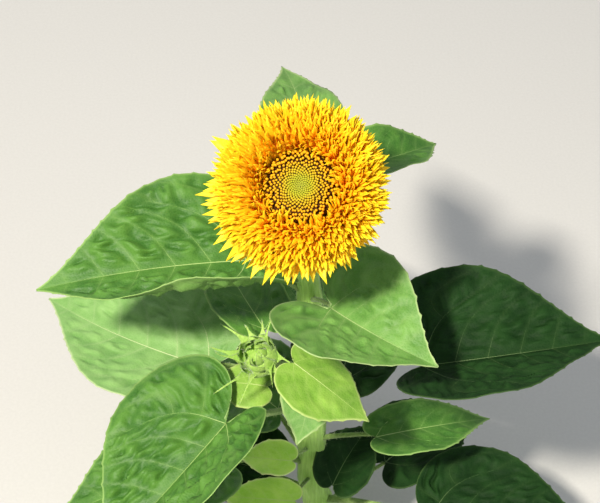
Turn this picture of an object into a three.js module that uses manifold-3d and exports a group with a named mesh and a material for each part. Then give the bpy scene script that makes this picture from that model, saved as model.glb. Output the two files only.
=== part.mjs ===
// A dwarf, double-flowered sunflower plant, in millimetres, +Z up.
// The origin is the flat cut of the main stem at ground level. The photograph looks along +Y, from above.
import * as THREE from "three";
import { mergeVertices } from "three/addons/utils/BufferGeometryUtils.js";
import Module from "manifold-3d";

const wasm = await Module();
wasm.setup();

const rad = THREE.MathUtils.degToRad;
const UP = new THREE.Vector3(0, 0, 1);
const GAP = 0.3; // clear space left between pieces that rest on each other

// Main stem: the places its axis runs through below the flower head's neck, and its radius at
// each of them and at the two ends of the neck.
const STEM_SIDES = 12;
const STEM_STEPS = 20;
const STEM_AXIS = [
  [0, 0, 0],
  [0, 0, 24],
  [-16, 1, 95],
  [-18, 3, 150],
  [-16, 5, 230],
  [-21, 3, 350],
  [-25, -3, 420],
  [-26, -11, 456],
];
const STEM_RADII = [17, 13, 12, 11.5, 10.8, 9.4, 8.2, 7.8, 7.8, 8.8];
const NECK_LENGTH = 22;

// Flower head: where the ring of rays is centred, how far it nods from straight up, and how far
// it turns to -X.
const HEAD_CENTRE = [-26, -50, 520];
const HEAD_NOD = 34;
const HEAD_TURN = 12;
const CUP_DEPTH = 24;
const CUP_RADIUS = 42;
const NECK_RADIUS = 9;
const RAY_PLATE_RADIUS = 44;
const RAY_PLATE_THICKNESS = 5;
const DISC_RADIUS = 25;

// Profiles turned about the head's axis, as [radius, height] from the plane of the rays.
const MOUND_FOOT = RAY_PLATE_THICKNESS + GAP;
const MOUND_PROFILE = [
  [DISC_RADIUS + GAP, MOUND_FOOT],
  [50, MOUND_FOOT],
  [51, 9],
  [48, 15],
  [42, 20],
  [34, 24],
  [28, 23.5],
  [DISC_RADIUS + GAP, 19],
  [DISC_RADIUS + GAP, MOUND_FOOT],
];
const DISC_PROFILE = [
  [0, MOUND_FOOT],
  [DISC_RADIUS, MOUND_FOOT],
  [DISC_RADIUS, 15],
  [0.8 * DISC_RADIUS, 18],
  [0.4 * DISC_RADIUS, 19.5],
  [0, 19],
];
const CUP_PROFILE = [
  [0, -CUP_DEPTH],
  [NECK_RADIUS, -CUP_DEPTH],
  [0.55 * CUP_RADIUS, -0.72 * CUP_DEPTH],
  [0.88 * CUP_RADIUS, -0.3 * CUP_DEPTH],
  [CUP_RADIUS, -GAP],
  [0, -GAP],
];
const RAY_PLATE_PROFILE = [
  [0, 0],
  [RAY_PLATE_RADIUS, 0],
  [RAY_PLATE_RADIUS, RAY_PLATE_THICKNESS],
  [0, RAY_PLATE_THICKNESS],
];

// Strap-shaped florets and bracts: their half-width at even steps from root to tip, and how far
// each one is nudged from its row in length (as a share of it), in roll and in turn (radians).
const STRAP_OUTLINE = [0.55, 0.95, 1, 0.82, 0];
const STRAP_SCATTER = { length: 0.08, roll: 0.18, turn: 0.04 };
const NUDGE_PHASES = [7.3, 2.9, 0]; // radians for each strap, for each row, and at the start
const SWAY_PHASES = [4.1, 1.7, Math.PI / 2];

// Each kind of strap: its thickness, how far it bends up from root to tip (radians), how far its
// slope strays from its row's (degrees), and the sides and steps it is made with.
const FLORET_FORM = { thickness: 2.4, bend: 0.1, unrest: 6, sides: 3, steps: 2 };
const RAY_FORM = { thickness: 1.6, bend: -0.1, unrest: 2.5, sides: 3, steps: 2 };
const CUP_BRACT_FORM = { thickness: 3, bend: -0.35, unrest: 3, sides: 3, steps: 2 };
const BUD_BRACT_FORM = { thickness: 2, bend: 0.7, unrest: 6, sides: 3, steps: 3 };

// The rows of straps: how many stand in a row, where their roots are, how steeply they point, and
// their size. The florets' rows cover the dome from its foot to the edge of the disc.
const FLORET_ROWS = [
  { count: 30, radius: 44, height: 10.5, rise: 10, length: 20, width: 9.4 },
  { count: 28, radius: 42, height: 14, rise: 24, length: 19, width: 9 },
  { count: 26, radius: 38, height: 17, rise: 38, length: 18, width: 8.4 },
  { count: 22, radius: 35, height: 19, rise: 52, length: 16, width: 7 },
  { count: 20, radius: 29.5, height: 18, rise: 76, length: 14, width: 6.6 },
];
const RAY_ROWS = [
  { count: 21, radius: 38, height: 1.6, rise: -2, length: 29, width: 11 },
  { count: 21, radius: 38, height: 2.6, rise: 3, length: 27, width: 10 },
];
const CUP_BRACT_ROWS = [
  { count: 15, radius: 32, height: -8.5, rise: 4, length: 23, width: 13 },
  { count: 13, radius: 24, height: -15, rise: -6, length: 24, width: 13 },
];

// Side bud: where its branch leaves the main stem, and the places the branch runs through.
const BUD_BRANCH_NODE = 252;
const BUD_BRANCH_PLACES = [
  [-34, -21, 288],
  [-50, -39, 316],
  [-57, -48, 334],
];
const BUD_BRANCH_RADII = [6, 5, 4.2, 4.6];
const BUD_BRANCH_SIDES = 8;
const BUD_BRANCH_STEPS = 8;
const BUD_RADIUS = 13;
const BUD_HEIGHT = 17;
const BUD_PROFILE = [
  [0, 0],
  [0.45 * BUD_RADIUS, 0],
  [BUD_RADIUS, 0.4 * BUD_HEIGHT],
  [0.8 * BUD_RADIUS, 0.8 * BUD_HEIGHT],
  [0, BUD_HEIGHT],
];
const BUD_BRACT_ROWS = [
  { count: 9, radius: 9.5, height: 4, rise: -6, length: 21, width: 6 },
  { count: 9, radius: 10, height: 8, rise: 24, length: 17, width: 5.6 },
  { count: 7, radius: 8, height: 11, rise: 56, length: 12, width: 5.6 },
];

// Blades: thickness, the length over which a leaf counts as a large one, and the steps its
// surface is laid in, across each half and from the stalk to the tip.
const LEAF_THICKNESS = 1.9;
const LARGE_LEAF = 100;
const BLADE_STEPS = 2;
const BLADE_ROWS = { large: 9, small: 7 };

// Half of a blade's outline, as [share of the length, share of the half-width]. It runs from the
// notch at the stalk round the basal lobe to the widest place, and on to the tip. A lobe draws
// the widest place back. Handles pull the two curves out: the lobe's are given in lobes' lengths
// behind the stalk, and the tip's as shares of the way on from the widest place.
const BLADE_NOTCH = [-0.015, 0.05];
const BLADE_TIP = [1, 0.012];
const BLADE_WIDEST = 0.34;
const LOBE_DRAW = 0.4;
const LOBE_HANDLES = [[1.25, 0.22], [1, 0.98]];
const TIP_HANDLES = [[0.45, 1.02], [0.7, 0.2]];

// Leaf stalks: radii from the node to the blade for a stalk of size 1, the blade's length for
// each mm of that size, and the least and largest size. A stalk rises to its shoulder, runs on
// under the blade as a share of the blade's length, and ends inside it.
const STALK_SIDES = 6;
const STALK_STEPS = 5;
const STALK_TAPER = [1.45, 1.05, 0.9, 0.7];
const STALK_SLENDERNESS = 45;
const STALK_SIZES = [1.9, 3.4];
const STALK_SHOULDER = 0.45;
const STALK_RISE = 0.12;
const STALK_OVERLAP = 0.07;
const STALK_INSET = 0.4;

// Leaves. Each has the height of its node on the main stem, or its share of the way up the bud's
// branch, the place where its blade meets the stalk (foot), the compass direction and slope of
// its midrib's chord, and the blade's length. Pairs hold its left and right half: how far it
// reaches to the side, how far its basal lobe reaches back as a share of the length (lobe), how
// far it folds up at the midrib (fold), and how much further it has turned up at the margin
// (curl). The midrib bows above its chord (arch) and to the left of it (sweep), and the whole
// blade rolls, right half downwards. Lengths in mm and angles in degrees.
const LEAVES = [
  { name: "leaf_upper_left", node: 352, foot: [-69, -7, 402], compass: 191, slope: 0,
    length: 160, reach: [73, 73], arch: 8, sweep: 2, lobe: [0.28, 0.28], fold: [2, 26],
    curl: [74, 0], roll: 0 },
  { name: "leaf_upper_right_front", node: 345, foot: [-5, -51, 397], compass: 323, slope: 1,
    length: 96, reach: [58, 72], arch: 7, sweep: -7, lobe: [0.4, 0.44], fold: [24, 16],
    curl: [10, 20], roll: 0 },
  { name: "leaf_back_tall", node: 400, foot: [-26, 58, 452], compass: 97, slope: -14,
    length: 150, reach: [35, 35], arch: 4, sweep: -6, lobe: [0.14, 0.14], fold: [8, 4],
    curl: [0, 0], roll: 0 },
  { name: "leaf_back_right", node: 385, foot: [9, 60, 432], compass: 38, slope: -15,
    length: 96, reach: [31, 31], arch: 7, sweep: -7, lobe: [0.14, 0.14], fold: [24, 20],
    curl: [8, 8], roll: 0 },
  { name: "leaf_under_upper_left", node: 310, foot: [-56, -13, 328], compass: 113, slope: -6,
    length: 110, reach: [32, 32], arch: 4, sweep: 3, lobe: [0.12, 0.12], fold: [16, 12],
    curl: [0, 0], roll: 0 },
  { name: "leaf_right", node: 268, foot: [67, -48, 325], compass: 7, slope: 4,
    length: 150, reach: [79, 79], arch: 4, sweep: -4, lobe: [0.21, 0.21], fold: [17, 31],
    curl: [10, 0], roll: 0 },
  { name: "leaf_left", node: 232, foot: [-103, -9, 276], compass: 149, slope: -4,
    length: 164, reach: [62, 74], arch: 4, sweep: 8, lobe: [0.2, 0.12], fold: [8, 16],
    curl: [14, 0], roll: -6 },
  { name: "leaf_lower_left_front", node: 200, foot: [-86, -79, 292], compass: 224, slope: -22,
    length: 144, reach: [84, 80], arch: 6, sweep: 4, lobe: [0.24, 0.3], fold: [38, 14],
    curl: [12, -14], roll: 0 },
  { name: "leaf_behind_bud", branch: 0.45, foot: [-54, -39, 288], compass: 170, slope: -10,
    length: 48, reach: [21, 21], arch: 6, sweep: 2, lobe: [0.12, 0.12], fold: [-12, 10],
    curl: [-12, 0], roll: 0 },
  { name: "leaf_small_front", node: 305, foot: [-33, -65, 350], compass: 331, slope: -26,
    length: 73, reach: [34, 34], arch: 4, sweep: -2, lobe: [0.15, 0.15], fold: [-8, 2],
    curl: [-8, 0], roll: 0 },
  { name: "leaf_small_lower_front", node: 272, foot: [-21, -44, 302], compass: 256, slope: -36,
    length: 52, reach: [22, 22], arch: 3, sweep: 3, lobe: [0.16, 0.16], fold: [10, 10],
    curl: [0, 0], roll: 0 },
  { name: "leaf_foot_right", node: 105, foot: [0, -32, 142], compass: 62, slope: -2,
    length: 78, reach: [28, 28], arch: 2, sweep: 2, lobe: [0.16, 0.16], fold: [30, 6],
    curl: [10, 0], roll: 0 },
  { name: "leaf_low_right", node: 160, foot: [36, -22, 198], compass: 20, slope: -12,
    length: 110, reach: [28, 28], arch: 9, sweep: -5, lobe: [0.1, 0.1], fold: [14, 8],
    curl: [0, 0], roll: 0 },
  { name: "leaf_low_right_front", node: 75, foot: [84, -56, 124], compass: 357, slope: -5,
    length: 150, reach: [75, 75], arch: 5, sweep: -2, lobe: [0.12, 0.12], fold: [8, 12],
    curl: [2, 0], roll: 0 },
  { name: "leaf_low_left_pale", node: 110, foot: [-33, -50, 144], compass: 172, slope: -4,
    length: 68, reach: [22, 22], arch: 4, sweep: 3, lobe: [0.12, 0.12], fold: [4, 4],
    curl: [0, 0], roll: 0 },
  { name: "leaf_low_left_small", node: 150, foot: [-35, -36, 183], compass: 172, slope: -2,
    length: 48, reach: [19, 19], arch: 4, sweep: 3, lobe: [0.12, 0.12], fold: [8, 8],
    curl: [0, 0], roll: 0 },
  { name: "leaf_lower_left_back", node: 130, foot: [-104, -32, 176], compass: 200, slope: -7,
    length: 140, reach: [56, 56], arch: 6, sweep: 0, lobe: [0.19, 0.19], fold: [12, 12],
    curl: [0, 0], roll: 0 },
  { name: "leaf_back_mid", node: 215, foot: [-6, 64, 252], compass: 92, slope: -8,
    length: 140, reach: [56, 56], arch: 8, sweep: 4, lobe: [0.2, 0.2], fold: [14, 12],
    curl: [6, 0], roll: 0 },
  { name: "leaf_back_low", node: 140, foot: [8, 62, 168], compass: 82, slope: -8,
    length: 132, reach: [52, 52], arch: 7, sweep: -3, lobe: [0.18, 0.18], fold: [12, 14],
    curl: [0, 0], roll: 0 },
  { name: "leaf_back_low_left", node: 120, foot: [-48, 48, 146], compass: 132, slope: -10,
    length: 132, reach: [53, 53], arch: 7, sweep: 3, lobe: [0.18, 0.18], fold: [12, 12],
    curl: [0, 6], roll: 0 },
  { name: "leaf_foot_left", node: 80, foot: [-56, 10, 104], compass: 168, slope: -8,
    length: 124, reach: [49, 49], arch: 6, sweep: -3, lobe: [0.18, 0.18], fold: [10, 14],
    curl: [0, 0], roll: 0 },
  { name: "leaf_foot_back_right", node: 60, foot: [50, 34, 84], compass: 36, slope: -6,
    length: 110, reach: [45, 45], arch: 6, sweep: 3, lobe: [0.18, 0.18], fold: [12, 10],
    curl: [0, 0], roll: 0 },
  { name: "leaf_foot_front_left", node: 62, foot: [-34, -62, 82], compass: 242, slope: -8,
    length: 118, reach: [49, 49], arch: 6, sweep: -3, lobe: [0.18, 0.18], fold: [12, 12],
    curl: [0, 0], roll: 0 },
  { name: "leaf_foot_front_right", node: 50, foot: [30, -66, 66], compass: 296, slope: -6,
    length: 112, reach: [46, 46], arch: 6, sweep: 3, lobe: [0.18, 0.18], fold: [12, 12],
    curl: [0, 0], roll: 0 },
];

// Small toolbox.

/** Sum of two vectors scaled, as a new vector. */
function along(origin, ...pairs) {
  const point = origin.clone();
  for (const [direction, distance] of pairs) point.addScaledVector(direction, distance);
  return point;
}

/** A closed three.js geometry as a manifold solid. */
function solidOf(geometry) {
  const bare = geometry.clone();
  bare.deleteAttribute("normal");
  bare.deleteAttribute("uv");
  const merged = mergeVertices(bare, 1e-4);
  return new wasm.Manifold(
    new wasm.Mesh({
      numProp: 3,
      vertProperties: new Float32Array(merged.attributes.position.array),
      triVerts: new Uint32Array(merged.index.array),
    }),
  );
}

/** A manifold solid as a three.js geometry. */
function geometryOf(solid) {
  const mesh = solid.getMesh();
  const geometry = new THREE.BufferGeometry();
  geometry.setAttribute("position", new THREE.BufferAttribute(mesh.vertProperties, 3));
  geometry.setIndex(new THREE.BufferAttribute(mesh.triVerts, 1));
  geometry.computeVertexNormals();
  return geometry;
}

/** Joins several solids into one. */
function fuse(solids) {
  let joined = solids;
  while (joined.length > 1) {
    const pairs = [];
    for (let i = 0; i < joined.length; i += 2) {
      pairs.push(i + 1 < joined.length ? joined[i].add(joined[i + 1]) : joined[i]);
    }
    joined = pairs;
  }
  return joined[0];
}

/** Moves every vertex of a geometry to where the rule puts it. */
function reshape(geometry, rule) {
  const positions = geometry.attributes.position;
  const point = new THREE.Vector3();
  for (let i = 0; i < positions.count; i += 1) {
    point.fromBufferAttribute(positions, i);
    const moved = rule(point);
    positions.setXYZ(i, moved.x, moved.y, moved.z);
  }
  return geometry;
}

/** A value read off a list at a share of its length, with straight runs between its entries. */
function blend(values, share) {
  const place = THREE.MathUtils.clamp(share, 0, 1) * (values.length - 1);
  const low = Math.min(Math.floor(place), values.length - 2);
  return THREE.MathUtils.lerp(values[low], values[low + 1], place - low);
}

/** A round limb that tapers along a curve: a capped cylinder bent onto it. */
function limb(curve, radii, sides, steps, extra = 0) {
  const frames = curve.computeFrenetFrames(steps, false);
  const cylinder = new THREE.CylinderGeometry(1, 1, 1, sides, steps);
  return reshape(cylinder, ({ x, y, z }) => {
    const step = Math.round((y + 0.5) * steps);
    const share = step / steps;
    const radius = blend(radii, curve.getUtoTmapping(share)) + extra;
    return along(
      curve.getPointAt(share),
      [frames.normals[step], x * radius],
      [frames.binormals[step], -z * radius],
    );
  });
}

/** A curve through listed places. */
function curveThrough(places) {
  const points = places.map((place) => new THREE.Vector3(...place));
  return new THREE.CatmullRomCurve3(points, false, "centripetal");
}

/** A solid turned about the vertical axis of a closed profile of [radius, height] pairs. */
function turned(profile, segments) {
  const lathe = new THREE.LatheGeometry(profile.map(([r, z]) => new THREE.Vector2(r, z)), segments);
  return solidOf(lathe.rotateX(Math.PI / 2));
}

/** A pointed strap with a flat section, from the origin along +X, that bends upwards by the given angle. */
function strap({ length, width, thickness, bend, sides, steps }) {
  const cone = new THREE.ConeGeometry(1, 1, sides, steps);
  return reshape(cone, ({ x, y, z }) => {
    const share = y + 0.5;
    const shrink = Math.max(1 - share, 1e-6);
    const size = share > 1 - 1e-6 ? 0 : blend(STRAP_OUTLINE, share);
    const angle = bend * share;
    const run = Math.abs(bend) < 1e-3 ? share : Math.sin(angle) / bend;
    const climb = Math.abs(bend) < 1e-3 ? 0 : (1 - Math.cos(angle)) / bend;
    const lift = (x / shrink) * size * thickness * 0.5;
    return new THREE.Vector3(
      length * run - Math.sin(angle) * lift,
      (z / shrink) * size * width * 0.5,
      length * climb + Math.cos(angle) * lift,
    );
  });
}

/** A repeatable value between -1 and 1 for one strap of one row. */
function scatter([perStrap, perRow, start], index, rowIndex) {
  return Math.sin(perStrap * index + perRow * rowIndex + start);
}

/** One row of straps standing round the axis, each nudged a little in turn, slope and length. */
function strapRow(row, rowIndex, form) {
  const solids = [];
  for (let i = 0; i < row.count; i += 1) {
    const turn = (2 * Math.PI * (i + 0.5 * (rowIndex % 2))) / row.count;
    const nudge = scatter(NUDGE_PHASES, i, rowIndex);
    const sway = scatter(SWAY_PHASES, i, rowIndex);
    const length = row.length * (1 + STRAP_SCATTER.length * nudge);
    const shape = strap({ ...form, length, width: row.width });
    shape.rotateX(STRAP_SCATTER.roll * sway);
    shape.rotateY(-rad(row.rise + form.unrest * sway));
    shape.translate(row.radius, 0, row.height);
    shape.rotateZ(turn + STRAP_SCATTER.turn * nudge);
    solids.push(solidOf(shape));
  }
  return solids;
}

/** Every strap of several rows. */
function rowsOfStraps(rows, form) {
  return rows.flatMap((row, i) => strapRow(row, i, form));
}

// Leaves.

/** Half of a blade's outline, from the notch at the stalk round the lobe to the tip. */
function halfOutline(lobe) {
  const widest = BLADE_WIDEST - LOBE_DRAW * lobe;
  const shoulder = new THREE.Vector2(widest, 1);
  const notch = new THREE.Vector2(...BLADE_NOTCH);
  const tip = new THREE.Vector2(...BLADE_TIP);
  const lobeHandles = LOBE_HANDLES.map(([back, out]) => new THREE.Vector2(-back * lobe, out));
  const tipHandles = TIP_HANDLES.map(([on, out]) => new THREE.Vector2(widest + on * (1 - widest), out));
  const outline = new THREE.CurvePath();
  outline.add(new THREE.CubicBezierCurve(notch, ...lobeHandles, shoulder));
  outline.add(new THREE.CubicBezierCurve(shoulder, ...tipHandles, tip));
  return outline;
}

/** Whether a leaf counts as one of the large ones. */
function isLarge(leaf) {
  return leaf.length > LARGE_LEAF;
}

/** The directions of a leaf: along its midrib, out of its upper face, and to its left. */
function leafAxes(leaf) {
  const compass = rad(leaf.compass);
  const slope = rad(leaf.slope);
  const ahead = new THREE.Vector3(
    Math.cos(slope) * Math.cos(compass),
    Math.cos(slope) * Math.sin(compass),
    Math.sin(slope),
  );
  const face = along(UP, [ahead, -UP.dot(ahead)]).normalize().applyAxisAngle(ahead, rad(leaf.roll));
  const left = new THREE.Vector3().crossVectors(face, ahead);
  return { ahead, face, left };
}

/** Where a point of half a blade lies when it folds up at the midrib and curls on towards its margin. */
function bent(reach, fold, curl) {
  const turn = fold + curl * reach;
  if (Math.abs(curl) < 1e-6) return { turn, out: reach * Math.cos(fold), lift: reach * Math.sin(fold) };
  return {
    turn,
    out: (Math.sin(turn) - Math.sin(fold)) / curl,
    lift: (Math.cos(fold) - Math.cos(turn)) / curl,
  };
}

/** How far a bow stands above its chord, as a share of its height, at a share of the way along it. */
function bowAt(share) {
  return 4 * share * (1 - share);
}

/** The blade: a thin box laid onto the leaf's surface. */
function bladeGeometry(leaf) {
  const { ahead, face, left } = leafAxes(leaf);
  const foot = new THREE.Vector3(...leaf.foot);
  const outlines = leaf.lobe.map(halfOutline);
  const rows = isLarge(leaf) ? BLADE_ROWS.large : BLADE_ROWS.small;
  const box = new THREE.BoxGeometry(2, 1, 1, 2 * BLADE_STEPS, rows, 1);
  return reshape(box, ({ x, y, z }) => {
    const share = y + 0.5;
    const side = x > 0 ? -1 : 1; // the box's +X half is the leaf's right half
    const half = side > 0 ? 0 : 1;
    const edge = outlines[half].getPoint(share);
    const reach = leaf.reach[half];
    const run = THREE.MathUtils.lerp(share * share, edge.x, Math.abs(x));
    const reached = edge.y * Math.abs(x);
    const { turn, out, lift } = bent(reached, rad(leaf.fold[half]), rad(leaf.curl[half]));
    const bow = bowAt(run);
    const tilt = Math.abs(x) > 0 ? turn : 0;
    const above = z * LEAF_THICKNESS;
    return along(
      foot,
      [ahead, run * leaf.length],
      [left, side * (out * reach - above * Math.sin(tilt)) + leaf.sweep * bow],
      [face, lift * reach + leaf.arch * bow + above * Math.cos(tilt)],
    );
  });
}

/** The stalk, from the leaf's node in the middle of the stem or branch to just inside its blade. */
function stalkGeometry(leaf) {
  const { ahead, face } = leafAxes(leaf);
  const foot = new THREE.Vector3(...leaf.foot);
  const node = leaf.branch ? budCurve.getPointAt(leaf.branch) : stemPlace(leaf.node);
  const reach = foot.clone().sub(node);
  const shoulder = along(node, [reach, STALK_SHOULDER], [UP, STALK_RISE * reach.length()]);
  const end = along(
    foot,
    [ahead, STALK_OVERLAP * leaf.length],
    [face, bowAt(STALK_OVERLAP) * leaf.arch - STALK_INSET],
  );
  const size = THREE.MathUtils.clamp(leaf.length / STALK_SLENDERNESS, ...STALK_SIZES);
  const curve = new THREE.QuadraticBezierCurve3(node, shoulder, end);
  return limb(curve, STALK_TAPER.map((radius) => radius * size), STALK_SIDES, STALK_STEPS);
}

// The head's place, and the main stem that carries it.
const headCentre = new THREE.Vector3(...HEAD_CENTRE);
const headTurn = new THREE.Euler(rad(HEAD_NOD), 0, -rad(HEAD_TURN), "ZXY");
const headAxis = UP.clone().applyEuler(headTurn);
const neckPlaces = [CUP_DEPTH + NECK_LENGTH, CUP_DEPTH + GAP].map((below) =>
  along(headCentre, [headAxis, -below]).toArray());
const stemCurve = curveThrough([...STEM_AXIS, ...neckPlaces]);

/** The place on the main stem's axis at a height. */
function stemPlace(height) {
  let low = 0;
  let high = 1;
  for (let i = 0; i < 30; i += 1) {
    const middle = (low + high) / 2;
    if (stemCurve.getPoint(middle).z < height) low = middle;
    else high = middle;
  }
  return stemCurve.getPoint(low);
}

const budCurve = curveThrough([stemPlace(BUD_BRANCH_NODE).toArray(), ...BUD_BRANCH_PLACES]);

/** The largest of a solid's bodies: what is left of a piece once its seat is cut, without loose scraps. */
function largestBody(solid) {
  return solid.decompose().sort((a, b) => b.volume() - a.volume())[0];
}

// Materials, in the colours of the sunlit plant.
const paint = (color, roughness) => new THREE.MeshStandardMaterial({ color, roughness, metalness: 0 });
const STEM_GREEN = paint("#b4c98a", 0.7);
const LEAF_GREEN = paint("#5f9a34", 0.6);
const YOUNG_GREEN = paint("#93c03c", 0.6);
const RAY_YELLOW = paint("#ffc914", 0.6);
const FLORET_YELLOW = paint("#fdb913", 0.6);
const DISC_YELLOW = paint("#b9a92a", 0.7);

// Assembly.
const plant = new THREE.Group();

/** Adds one named mesh to a group. */
function piece(group, name, solid, material) {
  const mesh = new THREE.Mesh(geometryOf(solid), material);
  mesh.name = name;
  group.add(mesh);
}

piece(plant, "stem", solidOf(limb(stemCurve, STEM_RADII, STEM_SIDES, STEM_STEPS)), STEM_GREEN);
const stemClearance = solidOf(limb(stemCurve, STEM_RADII, STEM_SIDES, STEM_STEPS, GAP));

const budLimb = solidOf(limb(budCurve, BUD_BRANCH_RADII, BUD_BRANCH_SIDES, BUD_BRANCH_STEPS));
piece(plant, "bud_branch", largestBody(budLimb.subtract(stemClearance)), STEM_GREEN);
const budLimbClearance = solidOf(limb(budCurve, BUD_BRANCH_RADII, BUD_BRANCH_SIDES, BUD_BRANCH_STEPS, GAP));

for (const leaf of LEAVES) {
  const whole = fuse([solidOf(bladeGeometry(leaf)), solidOf(stalkGeometry(leaf))]);
  const seated = largestBody(whole.subtract(stemClearance).subtract(budLimbClearance));
  piece(plant, leaf.name, seated, isLarge(leaf) ? LEAF_GREEN : YOUNG_GREEN);
}

const bud = new THREE.Group();
bud.position.copy(along(budCurve.getPoint(1), [budCurve.getTangent(1), GAP]));
bud.quaternion.setFromUnitVectors(UP, budCurve.getTangent(1));
plant.add(bud);
const budBracts = rowsOfStraps(BUD_BRACT_ROWS, BUD_BRACT_FORM);
piece(bud, "bud", fuse([turned(BUD_PROFILE, 12), ...budBracts]), YOUNG_GREEN);

const head = new THREE.Group();
head.position.copy(headCentre);
head.rotation.copy(headTurn);
plant.add(head);

const cupBracts = rowsOfStraps(CUP_BRACT_ROWS, CUP_BRACT_FORM);
piece(head, "bloom_cup", fuse([turned(CUP_PROFILE, 24), ...cupBracts]), YOUNG_GREEN);

const rays = rowsOfStraps(RAY_ROWS, RAY_FORM);
piece(head, "bloom_rays", fuse([turned(RAY_PLATE_PROFILE, 32), ...rays]), RAY_YELLOW);

const florets = rowsOfStraps(FLORET_ROWS, FLORET_FORM);
piece(head, "bloom_florets", fuse([turned(MOUND_PROFILE, 32), ...florets]), FLORET_YELLOW);

piece(head, "bloom_disc", turned(DISC_PROFILE, 32), DISC_YELLOW);

export default plant;
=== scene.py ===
"""Visual model of a dwarf, double-flowered sunflower plant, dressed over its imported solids.

Shapes are worked out in millimetres and put into the meshes in metres, +Z up, with the origin in
the middle of the main stem's flat cut at ground level. The photograph looks along +Y, from above.
"""
import logging
import math
from collections.abc import Callable, Sequence
from dataclasses import dataclass, field
from enum import Enum
from functools import lru_cache, partial

import bpy
import numpy as np
from mathutils import Matrix, Vector


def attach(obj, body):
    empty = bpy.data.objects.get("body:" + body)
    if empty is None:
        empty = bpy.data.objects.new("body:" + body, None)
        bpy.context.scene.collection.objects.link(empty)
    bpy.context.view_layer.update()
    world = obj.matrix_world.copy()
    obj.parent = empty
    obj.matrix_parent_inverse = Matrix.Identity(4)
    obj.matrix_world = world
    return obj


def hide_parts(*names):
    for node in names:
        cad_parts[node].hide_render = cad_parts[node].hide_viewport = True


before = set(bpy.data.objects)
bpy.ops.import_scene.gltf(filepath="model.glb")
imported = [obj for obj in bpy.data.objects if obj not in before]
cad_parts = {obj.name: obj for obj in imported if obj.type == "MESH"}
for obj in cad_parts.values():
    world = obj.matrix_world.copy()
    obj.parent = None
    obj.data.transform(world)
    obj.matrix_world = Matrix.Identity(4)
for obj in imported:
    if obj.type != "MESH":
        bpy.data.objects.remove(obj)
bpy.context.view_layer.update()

LOG = logging.getLogger("sunflower")
MM = 0.001
SEED = 20
BODY = "root"
CLOUD_SIZE = 64  # places each way in a cloud's table, after which the cloud repeats
SEAM_M = 1e-6  # vertices of a seam lie closer than this
SPINE_SAMPLES = 60  # samples for each run of a line

Array = np.ndarray
Draw = np.random.Generator
Piece = bpy.types.Object
Material = bpy.types.Material
Tree = bpy.types.NodeTree
Socket = bpy.types.NodeSocket
Pairs = Sequence[tuple[float, float]]
Point = tuple[float, float, float]
Placer = Callable[[Array], Array]


class Tone(Enum):
    """Which of the plant's greens a leaf wears, from old leaves in the shade to young ones in the sun. The
    deep green is painted shade and the lime green partly painted light.
    """

    # Painted shade: darker than the leaves' own green, for leaves that lie in shade.
    DEEP = "deep"
    MIDDLE = "middle"
    PALE = "pale"
    SOFT = "soft"
    YOUNG = "young"
    # Partly painted light: young low leaves are pale, and this green is brighter still, standing in for
    # sunlight on them.
    LIME = "lime"


# Small toolbox: numbers.


def smooth_step(low: float, high: float, value: Array) -> Array:
    """A smooth rise from 0 at low to 1 at high.

    Args:
        low: Value where the rise starts.
        high: Value where the rise ends.
        value: Values to map.

    Returns:
        Mapped values from 0 to 1.
    """
    share = np.clip((value - low) / (high - low), 0.0, 1.0)
    return share * share * (3.0 - 2.0 * share)


def blend(values: Sequence[float], share: Array) -> Array:
    """Values read off a list at shares of its length, with straight runs between entries."""
    return np.interp(np.clip(share, 0.0, 1.0) * (len(values) - 1), np.arange(len(values)), values)


def read_off(table: Pairs, share: Array) -> Array:
    """Values read off a table of places and values, with straight runs between its rows."""
    return np.interp(share, *zip(*table))


def cloud(across: Array, along: Array, seed: int) -> Array:
    """Smooth random heights over a plane, about one rise or fall for each unit.

    Args:
        across: Places along the plane's first axis.
        along: Places along its second axis.
        seed: Which cloud it is.

    Returns:
        Heights from -1 to 1.
    """
    table = np.random.default_rng(seed).uniform(-1, 1, (CLOUD_SIZE, CLOUD_SIZE))
    column, row = np.floor(across).astype(int), np.floor(along).astype(int)
    right, up = smooth_step(0, 1, across - column), smooth_step(0, 1, along - row)
    low, high = (
        table[column % CLOUD_SIZE, level % CLOUD_SIZE] * (1 - right)
        + table[(column + 1) % CLOUD_SIZE, level % CLOUD_SIZE] * right
        for level in (row, row + 1)
    )
    return low * (1 - up) + high * up


def unit(vectors: Array) -> Array:
    """Vectors of length 1 in the same directions."""
    return vectors / np.maximum(np.linalg.norm(vectors, axis=-1, keepdims=True), 1e-12)


def turn_about(axis: Array, angle: float) -> Array:
    """The 3 by 3 matrix that turns by an angle in radians about an axis."""
    return np.array(Matrix.Rotation(angle, 3, Vector(axis)))


def axis_turns(axis: str, angles: Array) -> Array:
    """Matrices that turn by each of several angles about one axis of the frame.

    Args:
        axis: "X", "Y" or "Z".
        angles: Angles in radians, of shape (n,).

    Returns:
        Matrices of shape (n, 3, 3).
    """
    first, second = {"X": (1, 2), "Y": (2, 0), "Z": (0, 1)}[axis]
    turns = np.tile(np.eye(3), (len(angles), 1, 1))
    turns[:, first, first] = turns[:, second, second] = np.cos(angles)
    turns[:, first, second] = -np.sin(angles)
    turns[:, second, first] = np.sin(angles)
    return turns


# Small toolbox: meshes.


def select_only(piece: Piece) -> None:
    """Selects one object and makes it the active one.

    Args:
        piece: The object.
    """
    bpy.ops.object.select_all(action="DESELECT")
    piece.select_set(True)
    bpy.context.view_layer.objects.active = piece


def coordinates(piece: Piece) -> Array:
    """Reads the places of a mesh object's vertices.

    Args:
        piece: The object.

    Returns:
        Places of shape (n, 3), in the mesh's own units.
    """
    flat = np.zeros(len(piece.data.vertices) * 3, np.float32)
    piece.data.vertices.foreach_get("co", flat)
    return flat.reshape(-1, 3).astype(float)


def move_vertices(piece: Piece, places_mm: Array) -> None:
    """Puts a mesh object's vertices at places given in millimetres."""
    piece.data.vertices.foreach_set("co", (places_mm * MM).astype(np.float32).ravel())
    piece.data.update()


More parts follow.
